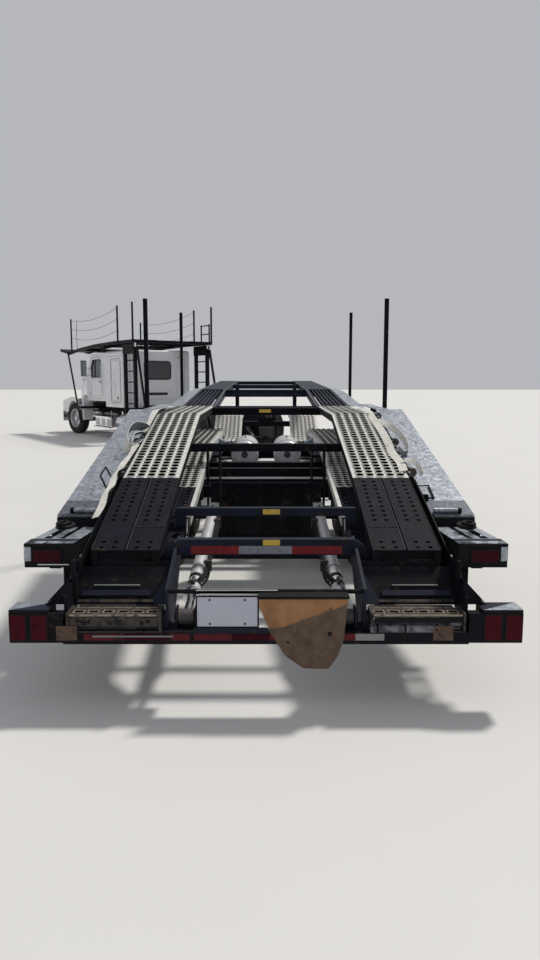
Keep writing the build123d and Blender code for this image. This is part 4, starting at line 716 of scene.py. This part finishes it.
# Brackets between the side plates and the lamp boxes, with rings of hose and a box on them
ties = Shape()
for y in (0.09, 0.17):
    ties.add([(x, b, z) for b in (y, y + 0.008)
              for x, z in ((1.0185, 0.655), (1.0185, 0.521), (1.145, 0.521), (1.12, 0.535))],
             [(0, 1, 2, 3), (7, 6, 5, 4), (0, 4, 5, 1), (1, 5, 6, 2), (2, 6, 7, 3), (3, 7, 4, 0)])
ties.beam((1.0185, 0.13, 0.65), (1.125, 0.13, 0.536), 0.09, 0.005, side=FORWARD)
for y, z, r in ((0.245, 0.655, 0.024), (0.215, 0.615, 0.020), (0.25, 0.70, 0.018)):
    ties.tube([(1.034 + 0.006 * math.sin(2 * t), y + r * math.cos(t), z + r * math.sin(t)) for t in turns(14)],
              0.007, 1, n=8, closed=True)
ties.boxes(1, (1.0185, 1.034, 0.20, 0.27, 0.60, 0.72), (1.11, 1.17, 0.28, 0.33, 0.662, 0.695))
ties.make("lamp_brackets", "trailer", [BLACK, PLASTIC], "black_steel", bevel=0.001, mirrored=True)

screws = Shape()
bolts(screws, [(-0.195 + x, -0.004, z) for x in (-0.089, 0.089) for z in (0.573, 0.449)], 0.0065, 0.002)
for x0, x1, z0, z1 in ((-0.345, -0.045, 0.583, 0.586), (-0.345, -0.045, 0.436, 0.439), (-0.346, -0.343, 0.437, 0.585),
                       (-0.047, -0.044, 0.437, 0.585)):
    screws.box(x0, x1, -0.0052, -0.0035, z0, z1, 1)
screws.make("plate_screws_and_rim", "trailer", [SCREW, PLATE], "plate_paint")

bars = Shape()
for x0, x1, y, z, width, depth, k in ((0.68, 0.93, 0.272, 0.571, 0.00675, 0.010, 0),
                                      (0.62, 0.99, 0.238, 0.538, 0.03375, 0.008, 1),
                                      (0.60, 1.0, 0.2, 0.505, 0.0165, 0.008, 2)):
    bars.beam((x0, y, z), (x1, y, z), width, depth, k, side=(0, 1, 1))
bars.box(0.55, 0.995, -0.001, 0.004, 0.402, 0.408, 2)
for x in (0.63, 0.92):
    bars.tube([(x, -0.001, 0.45), (x, 0.012, 0.45)], 0.011, 3)
bars.make("loading_bars", "trailer", [TRIM, DARK, WORN, PLASTIC], "black_steel", bevel=0.001, mirrored=True)

# Lift cylinders: glands and bands, hose fittings, and hoses clipped along the barrel's inner side
BARREL_EYE, ROD_EYE = Vector((0.415, 2.2, 0.66)), Vector((0.415, 0.12, 0.445))


def on_cylinder(distance):
    """A point of the cylinder's axis, counted from the barrel's eye."""
    return BARREL_EYE + (ROD_EYE - BARREL_EYE).normalized() * distance


glands = Shape()
for start, end, radius, k in ((1.79, 1.832, 0.047, 0), (1.80, 1.812, 0.05, 0), (1.66, 1.70, 0.0435, 1),
                              (1.55, 1.60, 0.0435, 1), (1.42, 1.425, 0.044, 1), (0.1, 0.14, 0.046, 0)):
    glands.tube([on_cylinder(start), on_cylinder(end)], radius, k, n=28)
for distance in (0.2, 1.74):
    c = on_cylinder(distance)
    glands.tube([c, c + Vector((0, 0, 0.062))], 0.013, 2, n=12)
    glands.tube([c + Vector((0, 0, 0.055)), c + Vector((0, 0.05, 0.065))], 0.011, 2, n=12)
for out, high, radius in ((-0.056, 0.018, 0.010), (-0.057, -0.008, 0.009), (-0.053, 0.034, 0.008)):
    points = []
    for i in range(15):
        t = i / 14
        reach = out * {0: 0.45, 1: 0.9}.get(min(i, 14 - i), 1.0) - 0.004 * (1 + math.sin(9 * t + 60 * high))
        points.append(on_cylinder(0.16 + 1.5 * t) + Vector((reach, 0, high + 0.003 * math.sin(14 * t))))
    glands.tube(curve(points, 3), radius, 1, n=8)
for distance in (0.45, 0.9, 1.35):
    x, y, z = on_cylinder(distance)
    glands.box(x - 0.078, x - 0.030, y - 0.012, y + 0.012, z - 0.024, z + 0.043, 2)
glands.make("cylinder_glands", "deck_lift_barrels", [CHROME, PLASTIC, CAST], "chrome", mirrored=True)

# Tank bands, gussets beside the tanks and the grating behind them
bands = Shape()
for x in (-0.21, 0.21):
    for y in (3.62, 3.70, 4.30):
        bands.hoop((x, y, 0.96), FORWARD, 0.014, 0.1345, 0.139)
    bands.tube([(x, 3.99, 1.09), (x, 3.99, 1.115)], 0.016, n=12)
    bands.lathe([(-0.006, 0.0005, 1), (-0.006, 0.03, 1), (0.004, 0.034, 1), (0.004, 0.0005, 1)], (x, 3.558, 0.96),
                FORWARD, n=24)
bands.make("tank_bands", "trailer", [CHROME, CAST], "silver_paint")

gussets = Shape()
gussets.beam((0.50, 3.78, 0.965), (0.44, 3.78, 1.095), 0.14, 0.11, side=FORWARD)
gussets.box(0.475, 0.55, 3.70, 3.86, 0.94, 0.985)
gussets.box(0.30, 0.476, 3.60, 3.72, 0.905, 0.925, 2)
for x in (0.235 + 0.043 * i for i in range(5)):
    gussets.boxes(1, (x, x + 0.026, 4.845, 4.856, 0.905, 0.935), (x, x + 0.026, 4.845, 4.856, 0.95, 0.98))
gussets.box(0.22, 0.46, 4.853, 4.862, 0.895, 0.99, 3)
gussets.make("well_gussets", "trailer", [GUSSET, GRIP, WORN, PLASTIC], "galvanised", bevel=0.004, mirrored=True)

# Thin rods and pipes across the frame
pipes = Shape()
for y, z, x, r, k in ((2.36, 0.885, 0.60, 0.009, 0), (2.30, 0.852, 0.60, 0.006, 1), (1.52, 0.455, 0.62, 0.009, 1),
                      (1.66, 0.515, 0.62, 0.006, 2), (5.2, 0.80, 0.60, 0.012, 1)):
    pipes.tube([(-x, y, z), (x, y, z)], r, k)
pipes.make("cross_pipes", "trailer", [SILVER, DARK, CAST], "black_steel")

# Tails behind the fenders, the fender's bent lip with a pipe on its edge, and a coil of hose
TAIL = ((0.275, 0.803), (0.88, 0.775))
tails = Shape()
for x in ((1.035, 1.125), (1.155, 1.20), (1.245, 1.295)):
    tails.strip(TAIL, x, (0.275, 0.88), 0.004)
tails.strip(TAIL, (1.035, 1.295), (0.275, 0.43), 0.004)
# The wide black box under the fender's end is painted shadow, the shadow of the fender's edge
tails.boxes(1, (1.04, 1.06, 0.29, 0.88, 0.70, 0.77), (1.035, 1.29, 0.86, 0.895, 0.70, 0.834))
for y in (0.5, 0.72):
    tails.box(1.045, 1.285, y, y + 0.03, 0.74, level(TAIL, y) - 0.004, 1)
tails.strip(raised(FENDER, 0.0035), (1.034, 1.298), (0.905, 1.13), 0.003, 2)
tails.tube([(1.05, 0.93, 0.866), (1.20, 0.93, 0.866)], 0.016, n=14)
tails.tube([(1.20, 0.93, 0.866), (1.222, 0.93, 0.866)], 0.019, 1, n=14)
tails.tube(ellipse(1.17, 0.62, 0.83, 0.045, 0.075, 10), 0.012, 1, n=8, closed=True)
tails.tube(ellipse(1.18, 0.60, 0.849, 0.03, 0.05, 10), 0.010, 1, n=8, closed=True)
tails.make("fender_tail_plates", "trailer", [GALV, PLASTIC, GALV_DARK], "galvanised", bevel=0.001, mirrored=True)

handles = Shape()
for corners in (((1.034, 1.366, 0.012), (1.115, 1.378, 0.012), (1.102, 1.155, 0.012), (1.022, 1.133, 0.012)),
                ((-1.118, 1.477, 0.105), (-1.052, 1.405, 0.035), (-1.036, 1.175, 0.035), (-1.117, 1.306, 0.105))):
    handles.tube([(x, y, level(FENDER, y) + up) for x, y, up in corners], 0.0065, n=8, closed=True)
for x, y in ((1.04, 1.14), (-1.036, 1.175)):
    z = level(FENDER, y)
    handles.box(x - 0.02, x + 0.02, y - 0.02, y + 0.02, z - 0.004, z + 0.04)
handles.make("wire_handles", "trailer", [PLASTIC], "black_steel")

# Outer tie-down rails of the rear deck, and the ratchets on them
rails = Shape()
for y0, y1 in ((1.34, 2.95), (2.95, 4.60)):
    rails.beam(*[(0.99, y, level(REAR_DECK, y) - 0.02) for y in (y0, y1)], 0.03, 0.05)
for y in (1.42 + 0.12 * i for i in range(26)):
    z = level(REAR_DECK, y)
    rails.box(0.982, 0.999, y, y + 0.05, z - 0.002, z + 0.009, 1)
for y in (1.5, 2.2, 3.1):
    z = level(REAR_DECK, y)
    rails.box(1.0, 1.04, y - 0.05, y + 0.05, z - 0.045, z + 0.01, 2)
    rails.tube([(0.995, y, z - 0.02), (1.055, y, z - 0.02)], 0.016, 2, n=12)
rails.make("tie_down_rails", "rear_deck", [BLACK, GRIP, CAST], "black_steel", bevel=0.002, mirrored=True)

# Loose tie-down straps on the rear deck: side, width, and points of (x, y, height above the deck, turn)
STRAP_THICK = 0.004
STRAPS = (
    (-1, 0.06, ((1.06, 4.45, 0.012, 0.1), (1.0, 3.9, 0.02, 0.3), (0.985, 3.3, 0.03, 0.5), (0.98, 2.9, 0.045, 0.2),
                (0.985, 2.6, 0.03, 0.6), (0.995, 2.35, 0.02, 0.2))),
    (-1, 0.085, ((0.99, 2.46, 0.015, 0.3), (1.02, 2.36, 0.06, 0.7), (1.06, 2.24, 0.09, 1.0), (1.085, 2.12, 0.07, 1.2),
                 (1.08, 2.03, 0.02, 1.3), (1.05, 1.99, -0.01, 1.1), (1.015, 2.04, 0.0, 0.7), (1.0, 2.14, 0.015, 0.4))),
    (-1, 0.07, ((1.0, 2.30, 0.02, 0.2), (1.02, 2.21, 0.045, 0.5), (1.045, 2.10, 0.05, 0.9), (1.05, 2.02, 0.02, 1.1),
                (1.02, 1.97, 0.005, 0.8))),
    (-1, 0.05, ((0.995, 2.0, 0.02, 0.2), (1.0, 1.8, 0.015, 0.5), (1.005, 1.6, 0.025, 0.2), (1.015, 1.42, 0.02, 0.4))),
    (-1, 0.046, ((1.0, 1.44, 0.03, 0.3), (1.012, 1.28, 0.05, 0.7), (1.005, 1.14, 0.035, 0.2), (1.016, 1.0, 0.045, 0.6),
                 (1.015, 0.88, 0.02, 0.2), (1.03, 0.76, 0.0, 0.5))),
    (1, 0.058, ((0.93, 4.3, 0.012, 0.1), (0.925, 3.7, 0.02, 0.2), (0.93, 3.1, 0.02, 0.3), (0.925, 2.7, 0.025, 0.5),
                (0.935, 2.35, 0.035, 0.3), (0.94, 2.05, 0.03, 0.6), (0.935, 1.8, 0.02, 0.4), (0.955, 1.6, 0.02, 0.2),
                (0.95, 1.42, 0.015, 0.3))),
    (1, 0.05, ((0.95, 2.7, 0.02, 0.4), (1.0, 2.45, 0.05, 0.9), (1.03, 2.2, 0.07, 1.2), (1.065, 1.98, 0.05, 1.35),
               (1.06, 1.85, 0.01, 1.3), (1.02, 1.83, 0.0, 1.0), (0.995, 1.95, 0.01, 0.7))),
    (1, 0.035, ((0.96, 1.58, 0.02, 0.4), (1.01, 1.55, 0.05, 0.8), (1.05, 1.45, 0.05, 1.0), (1.06, 1.33, 0.02, 1.2))))
straps = Shape()
for side, width, points in STRAPS:
    line = curve([(side * x, y, level(REAR_DECK, y) + h) for x, y, h, _ in points], 6)
    verts = []
    for i, turn in enumerate(curve([(turn, 0, 0) for *_, turn in points], 6)):
        run = (line[min(len(line) - 1, i + 1)] - line[max(0, i - 1)]).normalized()
        wide = Vector((math.cos(turn.x), 0.25 * math.sin(turn.x * 1.7), math.sin(turn.x)))
        wide = (wide - run * wide.dot(run)).normalized()
        up = run.cross(wide)
        verts += [line[i] + wide * s * width / 2 + up * t * STRAP_THICK / 2 for s, t in QUAD]
    last = len(line) - 1
    # The first face round each strap, its underside, takes painted shade
    straps.add(verts, skin([(i, i + 1) for i in range(last)], 4)
               + [(3, 2, 1, 0), tuple(4 * last + j for j in range(4))], [1, 0, 0, 0] * last + [0, 0])
straps.make("tie_down_straps", "rear_deck", [STRAP, STRAP_SHADE], "seat_fabric", smooth=60)

# Hanging brown sheet
SHEET_EDGE = ((-0.036, 0.583), (0.414, 0.583), (0.409, 0.535), (0.394, 0.362), (0.363, 0.28), (0.318, 0.214),
              (0.19, 0.214), (0.098, 0.28), (0.021, 0.405), (-0.036, 0.545))
SHEET_TOP, SHEET_FOOT = 0.582, 0.2145


def sheet_width(z):
    """Left and right x of the sheet's outline at one height."""
    xs = [x0 + (x1 - x0) * (z - z0) / (z1 - z0)
          for (x0, z0), (x1, z1) in zip(SHEET_EDGE, SHEET_EDGE[1:] + SHEET_EDGE[:1])
          if min(z0, z1) <= z <= max(z0, z1) and z0 != z1]
    return min(xs), max(xs)


cols, rows = 40, 36
layer = (rows + 1) * (cols + 1)
grid = []
for j in range(rows + 1):
    z = SHEET_TOP - (SHEET_TOP - SHEET_FOOT) * j / rows
    left, right = sheet_width(z)
    for i in range(cols + 1):
        x = left + (right - left) * i / cols
        wave = 0.0035 * math.sin(11 * x + 5 * z) + 0.0025 * math.sin(27 * x - 14 * z) * (j / rows)
        grid.append((x, -0.0075 + wave * min(1.0, j / 4), z))
faces = [(a, a + 1, a + cols + 2, a + cols + 1) for j in range(rows)
         for a in range(j * (cols + 1), (j + 1) * (cols + 1) - 1)]
# Two small holes in the sheet are drawn as black patches: painted shade seen through them
spots = [int(abs(x - 0.105) < 0.009 and 0.352 < z < 0.366 or abs(x - 0.315) < 0.008 and 0.395 < z < 0.41)
         for x, _, z in (grid[face[0]] for face in faces)]
ring = list(range(cols + 1)) + [j * (cols + 1) + cols for j in range(1, rows + 1)]
ring += [rows * (cols + 1) + i for i in range(cols - 1, -1, -1)] + [j * (cols + 1) for j in range(rows - 1, 0, -1)]
cloth = Shape()
cloth.add(grid + [(x, y + 0.0016, z) for x, y, z in grid],
          faces + [[layer + a for a in reversed(face)] for face in faces]
          + [(b, a, a + layer, b + layer) for a, b in zip(ring, ring[1:] + ring[:1])], spots * 2 + [0] * len(ring))
# Painted light: the upper part keeps the lit colour, and below a slanting edge the sheet turns to a darker painted
# shade
nt = BOARD.node_tree
coords = node(nt, "TexCoord").outputs["Object"]
place = node(nt, "SeparateXYZ", {0: coords}).outputs
edge = maths(nt, "ADD", maths(nt, "SUBTRACT", place[2], ramp(nt, place[0], 3.0, 3.34, 0.43, 0.555)),
             ramp(nt, noise(nt, coords, 14.0), 0.0, 1.0, -0.012, 0.012))
painted_shade_tone = mix(nt, "RGBA", ramp(nt, noise(nt, coords, 18.0, 6.0), 0.35, 0.65), (0.125, 0.078, 0.048),
               (0.075, 0.046, 0.03))
shader = nt.nodes["Principled BSDF"]
painted_lit_tone = shader.inputs["Base Color"].links[0].from_socket
feed(nt, shader, {"Base Color": mix(nt, "RGBA", ramp(nt, edge, -0.004, 0.004), painted_shade_tone, painted_lit_tone)})
brown = cloth.make("hanging_brown_sheet", "trailer", [BOARD, PLASTIC], "seat_fabric", smooth=80)
clip = Shape()
clip.boxes(0, (-0.04, 0.42, -0.011, 0.0, 0.578, 0.592), (-0.04, 0.42, -0.002, 0.082, 0.586, 0.592))
clip.make("sheet_clamp", "trailer", [PLASTIC], "black_steel", bevel=0.001)

# Head rack: wires between the guard posts, treads and tie-down rings on the deck, plates round the rear legs' tops
WIRE_Y, WIRE_SAG = (5.79, 9.72), 0.15
wires = Shape(TRACTOR)
for x in (-1.245, 1.245):
    for drop in (0.04, 0.36, 0.68):
        (y0, y1), z0, z1 = WIRE_Y, 3.86 - drop, 3.765 - drop * 0.88
        wires.tube([(x, y0 + (y1 - y0) * t, z0 + (z1 - z0) * t - WIRE_SAG * 4 * t * (1 - t))
                    for t in (i / 12 for i in range(13))], 0.005, n=6)
    wires.tube([(x, 9.2, 2.79), (x, 9.2, 3.70)], 0.007, n=6)
wires.make("guard_wires", "headrack", [RACK], "black_steel")

rack = Shape(TRACTOR)
for y in (5.1 + 0.85 * i for i in range(7)):
    for x in (0.66, 0.93):
        z = level(RACK_LINE, y) - 0.002
        rack.beam((x, y, z), (x + 0.2, y, z), 0.02, 0.03, side=UPWARD)
for y in (5.2, 6.6, 8.2):
    for x in (1.1, 0.72):
        rack.tube(ellipse(x, y, level(RACK_LINE, y) + 0.006, 0.03, 0.03, 8), 0.007, 1, n=6, closed=True)
rack.make("rack_treads", "headrack", [RACK, CAST], "black_steel", bevel=0.002, mirrored=True)

heads = Shape(TRACTOR)
for x0, x1 in ((1.192, 1.204), (1.094, 1.106)):
    heads.box(x0, x1, 4.755, 5.565, 2.50, 2.775)
    heads.add([(x, y, z) for x in (x0, x1) for y, z in ((4.76, 2.50), (4.86, 2.50), (4.80, 2.28))],
              [(0, 1, 2), (5, 4, 3), (0, 3, 4, 1), (1, 4, 5, 2), (2, 5, 3, 0)])
heads.boxes(0, (1.106, 1.192, 5.545, 5.565, 2.50, 2.775), (1.106, 1.192, 4.90, 5.40, 2.70, 2.712))
for y in (4.95, 5.2, 5.42):
    heads.tube([(1.204, y, 2.66), (1.232, y, 2.66)], 0.022, 1, n=12)
heads.make("rack_leg_heads", "tractor", [RACK, CAST], "black_steel", bevel=0.003, mirrored=True)

# Sleeper: side lockers, handles and seams, then the window frame and lamps of its back
LOCKER_X = 1.1105
sleeper = Shape(TRACTOR)
outline(sleeper, LOCKER_X, [(5.97, 1.10), (6.72, 1.10), (6.72, 2.39), (5.97, 2.39)], 0.0065, 1, 0.09)
outline(sleeper, LOCKER_X, [(6.02, 1.15), (6.67, 1.15), (6.67, 2.34), (6.02, 2.34)], 0.004, 3, 0.07)
sleeper.boxes(2, (1.109, 1.128, 6.56, 6.66, 1.66, 1.72), (1.106, 1.113, 5.83, 7.12, 1.0, 1.012))
sleeper.box(1.109, 1.120, 6.17, 6.23, 1.20, 1.28, 1)
sleeper.box(1.106, 1.113, 5.83, 7.12, 2.46, 2.472, 3)
for z in (1.3, 1.75, 2.2):
    sleeper.tube([(1.112, 5.985, z), (1.112, 5.985, z + 0.08)], 0.010, 2)
for y in (5.88 + 0.105 * i for i in range(12)):
    sleeper.tube([(1.109, y, 1.035), (1.1135, y, 1.035)], 0.006, 2, n=8)
sleeper.make("sleeper_side_lockers", "tractor", [WHITE, PLASTIC, CHROME, TRIM], "white_paint", mirrored=True)

back = Shape(TRACTOR)
for grow, radius, k in ((0.012, 0.014, 0), (0.035, 0.006, 1)):
    corners = [Vector((x * (0.41 + grow), 5.798, z)) for x, z in
               ((-1, 1.81 - grow), (1, 1.81 - grow), (1, 2.30 + grow), (-1, 2.30 + grow))]
    back.tube(rounded(corners, 0.08 + grow, 5), radius, k, n=8, closed=True)
back.boxes(2, (-0.72, -0.66, 5.788, 5.801, 2.42, 2.46), (0.66, 0.72, 5.788, 5.801, 2.42, 2.46))
back.boxes(1, (-0.904, -0.896, 5.7965, 5.801, 1.05, 2.52), (0.896, 0.904, 5.7965, 5.801, 1.05, 2.52),
           (-1.0, 1.0, 5.7965, 5.801, 1.20, 1.207))
for x in (-0.24 + 0.16 * i for i in range(4)):
    back.tube([(x, 5.802, 1.36), (x, 5.776, 1.36)], 0.022, n=12)
    back.tube([(x, 5.776, 1.36), (x, 5.765, 1.34)], 0.012, 3)
back.box(-0.32, 0.32, 5.790, 5.801, 1.32, 1.40, 3)
back.make("sleeper_back_trim", "tractor", [PLASTIC, TRIM, ORANGE, CAST], "white_paint")

# Cab: window frames, door seams and mirrors, grab rails, roof markers, visor and wipers
WINDOW_LINE = [(7.73, 1.86), (8.56, 1.86), (8.56, 2.19), (8.43, 2.41), (7.73, 2.41)]
for word, side in HANDS:
    trim = Shape(TRACTOR)
    outline(trim, side * 1.0285, WINDOW_LINE, 0.012, 0, 0.03)
    trim.tube([(side * 1.03, 8.30, 1.86), (side * 1.03, 8.30, 2.41)], 0.012, n=8)
    outline(trim, side * 1.030, [(7.70, 1.27), (8.58, 1.27), (8.58, 1.80), (7.70, 1.80)], 0.004, 2, 0.06)
    trim.box(side * 1.156, side * 1.334, 8.632, 8.641, 1.915, 2.385, 1)
    for z0, z1 in ((1.93, 2.17), (2.19, 2.37)):
        trim.box(side * 1.17, side * 1.32, 8.629, 8.633, z0, z1, 3)
    trim.make(f"{word}_door_trim", f"{word}_door", [PLASTIC, CHROME, TRIM, MIRROR], "white_paint", bevel=0.001)

cab = Shape(TRACTOR)
cab.box(1.025, 1.033, 7.17, 7.60, 1.30, 1.306, 1)
cab.tube([(1.07, 7.60, 1.35), (1.075, 7.60, 1.45), (1.075, 7.60, 2.15), (1.07, 7.60, 2.25)], 0.014, 2)
for z in (1.35, 2.25):
    cab.tube([(1.025, 7.60, z), (1.075, 7.60, z)], 0.014, 2)
cab.box(1.024, 1.034, 8.66, 8.96, 1.32, 1.34, 2)
cab.box(1.028, 1.108, 7.150, 7.166, 1.0, 2.52)
cab.make("cab_side_trim", "tractor", [PLASTIC, TRIM, CHROME], "white_paint", bevel=0.001, mirrored=True)

DOWN_SCREEN, OFF_SCREEN = Vector((0, 0.38, -0.63)).normalized(), Vector((0, 0.63, 0.38)).normalized()


def on_screen(x, down, off):
    """A point over the windscreen: x, the distance down from its top edge, and the height off the glass."""
    return Vector((x, 8.58, 2.56)) + DOWN_SCREEN * down + OFF_SCREEN * off


roof = Shape(TRACTOR)
for x in (-0.7, -0.25, 0.0, 0.25, 0.7):
    roof.tube([(x, 8.34, 2.612), (x, 8.46, 2.612)], [0.018, 0.026], n=12)
    roof.box(x - 0.03, x + 0.03, 8.32, 8.47, 2.597, 2.606, 1)
for side in SIDES:
    a, b = on_screen(side * 0.22, 0.70, 0.028), on_screen(side * 0.42, 0.22, 0.022)
    roof.tube([a, (a + b) / 2 + OFF_SCREEN * 0.01, b], 0.006, 2, n=8)
    roof.tube([on_screen(side * 0.39, 0.12, 0.014), on_screen(side * 0.45, 0.60, 0.014)], 0.007, 2, n=8)
    roof.tube([a - OFF_SCREEN * 0.03, a + OFF_SCREEN * 0.01], 0.018, 2, n=12)
roof.boxes(1, (-0.92, 0.92, 8.53, 8.70, 2.575, 2.582), (-0.92, 0.92, 8.695, 8.705, 2.52, 2.582))
roof.tube([(-0.04, 8.62, 2.56), (-0.04, 8.98, 1.90)], 0.02, 1)
roof.make("roof_and_screen_trim", "tractor", [ORANGE, TRIM, PLASTIC], "white_paint")

# Hood: grille bars and surround, headlamps, fender seam, latch and vents
NOSE_Y = 10.862
nose = Shape(TRACTOR)
nose.box(-0.485, 0.485, 10.8605, 10.864, 0.84, 1.60, 1)
for x in (-0.474 + 0.0395 * i for i in range(25)):
    nose.box(x - 0.006, x + 0.006, 10.863, 10.876, 0.84, 1.60 if abs(x) < 0.4 else 1.53)
for z in (1.02, 1.22, 1.42):
    nose.box(-0.48, 0.48, NOSE_Y, 10.874, z - 0.008, z + 0.008)
nose.tube([(x, NOSE_Y, z) for x, z in ((-0.5, 0.82), (0.5, 0.82), (0.5, 1.60), (0.40, 1.68), (-0.40, 1.68),
                                       (-0.5, 1.60))], 0.022, closed=True)
nose.make("grille_bars", "hood", [CHROME, PLASTIC], "chrome")

lamps = Shape(TRACTOR)
for side in SIDES:
    lamps.tube([(side * x, 10.864, z) for x, z in ((0.70, 0.86), (1.08, 0.86), (1.08, 1.06), (0.70, 1.06))], 0.014, n=8,
               closed=True)
    for x in (0.795, 0.98):
        lamps.lathe([(0.0, 0.0005, 1), (0.002, 0.03, 1), (0.010, 0.07, 1), (0.014, 0.082, 0), (0.0, 0.088, 0)],
                    (side * x, NOSE_Y, 0.96), FORWARD, n=32, ring=False)
    lamps.box(side * 1.10, side * 1.215, 10.60, 10.852, 0.90, 0.985, 2)
    lamps.tube([(side * 0.80, 9.05, 1.235), (side * 0.72, 9.9, 1.245), (side * 0.62, 10.8, 1.13)], 0.006, 3, n=6)
    lamps.box(side * 0.785, side * 0.815, 9.06, 9.10, 1.34, 1.46, 4)
    for j in range(5):
        lamps.tube([(side * (x - 0.004 * j), y + 0.02 * j, 1.36 + 0.07 * j) for x, y in ((0.765, 9.35), (0.745, 9.60))],
                   0.012, 3, n=8)
lamps.tube([(0, 9.02, 1.934), (0, 10.0, 1.838), (0, 10.84, 1.745)], 0.010, n=8)
lamps.make("hood_lamps_and_seams", "hood", [CHROME, CLEAR, ORANGE, TRIM, PLASTIC], "lamp_plastic")

front = Shape(TRACTOR)
front.box(-0.26, 0.26, 11.0475, 11.0555, 0.50, 0.62)
for side in SIDES:
    front.lathe([(0.0, 0.0005, 1), (0.004, 0.05, 1), (0.006, 0.062, 0), (0.0, 0.068, 0)], (side * 0.78, 11.0495, 0.56),
                FORWARD, n=28, ring=False)
    front.box(side * 0.40, side * 0.52, 11.047, 11.053, 0.54, 0.585, 2)
front.make("front_bumper_trim", "tractor", [PLASTIC, CLEAR, ORANGE], "chrome", bevel=0.002)


# Seats: crowned cushions and backs with sunk seams, on hard pedestals
def pad(name, centre, half, crown):
    """A stuffed block: rounded all round, crowned along one axis, with two sunk seams across it."""
    def power(value):
        return math.copysign(abs(value) ** 0.3, value)
    n, m = 48, 32
    verts = []
    for i in range(m + 1):
        v = math.pi * (i / m - 0.5)
        wide, tall = power(math.cos(v)), power(math.sin(v))
        for u in turns(n):
            p = Vector((wide * power(math.cos(u)), wide * power(math.sin(u)), tall))
            dent = sum(math.exp(-((p.x - c) / 0.05) ** 2) for c in (-0.45, 0.45))
            q = Vector(a * b for a, b in zip(p, half))
            q[crown] *= 0.86 + 0.14 * (1 - p.x * p.x) * (1 - (p.z if crown == 1 else p.y) ** 2) - 0.05 * dent
            verts.append(Vector(centre) + q)
    shape = Shape(TRACTOR)
    shape.add(verts, skin([(i, i + 1) for i in range(m)], n))
    piece = shape.make(name, "tractor", [FABRIC], "seat_fabric", ["seats"], smooth=70)


for word, side in HANDS:
    pad(f"seat_cushion_{word}", (side * 0.48, 8.0, 1.54), (0.24, 0.25, 0.062), 2)
    pad(f"seat_back_{word}", (side * 0.48, 7.70, 1.89), (0.24, 0.062, 0.33), 1)
stands = Shape(TRACTOR)
stands.boxes(0, (0.33, 0.63, 7.85, 8.15, 1.18, 1.40), (0.30, 0.66, 7.80, 8.20, 1.468, 1.482),
             (0.30, 0.32, 7.68, 7.84, 1.50, 1.66), (0.64, 0.66, 7.68, 7.84, 1.50, 1.66))
for z in (1.40, 1.425, 1.45):
    stands.box(0.34, 0.62, 7.86, 8.14, z, z + 0.018, 1)
stands.make("seat_pedestals", "tractor", [DASH, PLASTIC], "dash_plastic", ["seats"], bevel=0.004, mirrored=True)

# Fuel tank straps and caps, step treads, and the air cleaners' bands and slots
tanks = Shape(TRACTOR)
for y in (5.62, 5.97, 6.33):
    tanks.hoop((0.88, y, 0.52), FORWARD, 0.02, 0.199, 0.206, 48)
tanks.tube([(0.99, 6.1, 0.685), (1.01, 6.1, 0.725)], 0.04, n=20)
for y in (6.84 + 0.0425 * i for i in range(30)):
    tanks.boxes(1, (1.07, 1.18, y, y + 0.012, 0.3395, 0.3445), (1.07, 1.18, y, y + 0.012, 0.6595, 0.6645))
for y in (6.98, 7.45, 7.92):
    tanks.box(1.098, 1.103, y - 0.15, y + 0.15, 0.38, 0.58, 2)
tanks.make("tank_straps_and_treads", "tractor", [CHROME, CAST, SILVER], "chrome", bevel=0.001, mirrored=True)

CLEANER_X, CLEANER_Y, CLEANER_R = 0.985, 9.125, 0.1195
filters = Shape(TRACTOR)
for z in (1.32, 1.50, 1.72, 1.86):
    filters.hoop((CLEANER_X, CLEANER_Y, z), UPWARD, 0.012, CLEANER_R, 0.1235)
for x, y, _ in ellipse(CLEANER_X, CLEANER_Y, 0, CLEANER_R, CLEANER_R, 18):
    filters.box(x - 0.003, x + 0.003, y - 0.003, y + 0.003, 1.74, 1.84, 1)
filters.make("air_cleaner_bands", "tractor", [CHROME, PLASTIC], "chrome", mirrored=True)

# Painted highlights: thin pale strips along the edges of the front deck's rails
edges = Shape()
for x in ((0.591, 0.598), (0.962, 0.969)):
    edges.strip(raised(FRONT_DECK, 0.003), x, (4.87, 12.1), 0.004)
edges.make("front_deck_edge_highlights", "front_deck", [TRIM], "black_steel", mirrored=True)

# Camera of the photograph: a focal length of 721 pixels on 960, and a pitch below level in degrees
EYE, PITCH, FOCAL_MM = (2.925, -15.17, 1.65), 7.58, 27.04
camera = linked("camera", bpy.data.cameras.new("camera"))
camera.data.lens, camera.data.shift_x = FOCAL_MM, 0.0042
camera.location = EYE
camera.rotation_euler = (math.radians(90 - PITCH), 0, 0)
bpy.context.scene.camera = camera

# Floor and light
bpy.ops.mesh.primitive_plane_add(size=400, location=(0, 0, 0))
floor = bpy.context.object
floor.name = "floor"
floor.data.materials.append(surface("floor_grey", (0.62, 0.62, 0.61), 0.8, vary=0.02, grain=0.5, bump=0.0))
floor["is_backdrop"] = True

world = bpy.data.worlds.new("sky")
bpy.context.scene.world = world
world.use_nodes = True
feed(world.node_tree, world.node_tree.nodes["Background"], {"Color": (0.93, 0.95, 1.0), "Strength": 0.5})
sun = linked("sun", bpy.data.lights.new("sun", "SUN"))
sun.data.energy, sun.data.angle, sun.data.color = 2.8, math.radians(6), (1.0, 0.95, 0.88)
sun.rotation_euler = (math.radians(-24), math.radians(27), 0)
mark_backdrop(sun, camera)

bpy.context.scene.view_settings.view_transform = "Standard"

low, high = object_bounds()
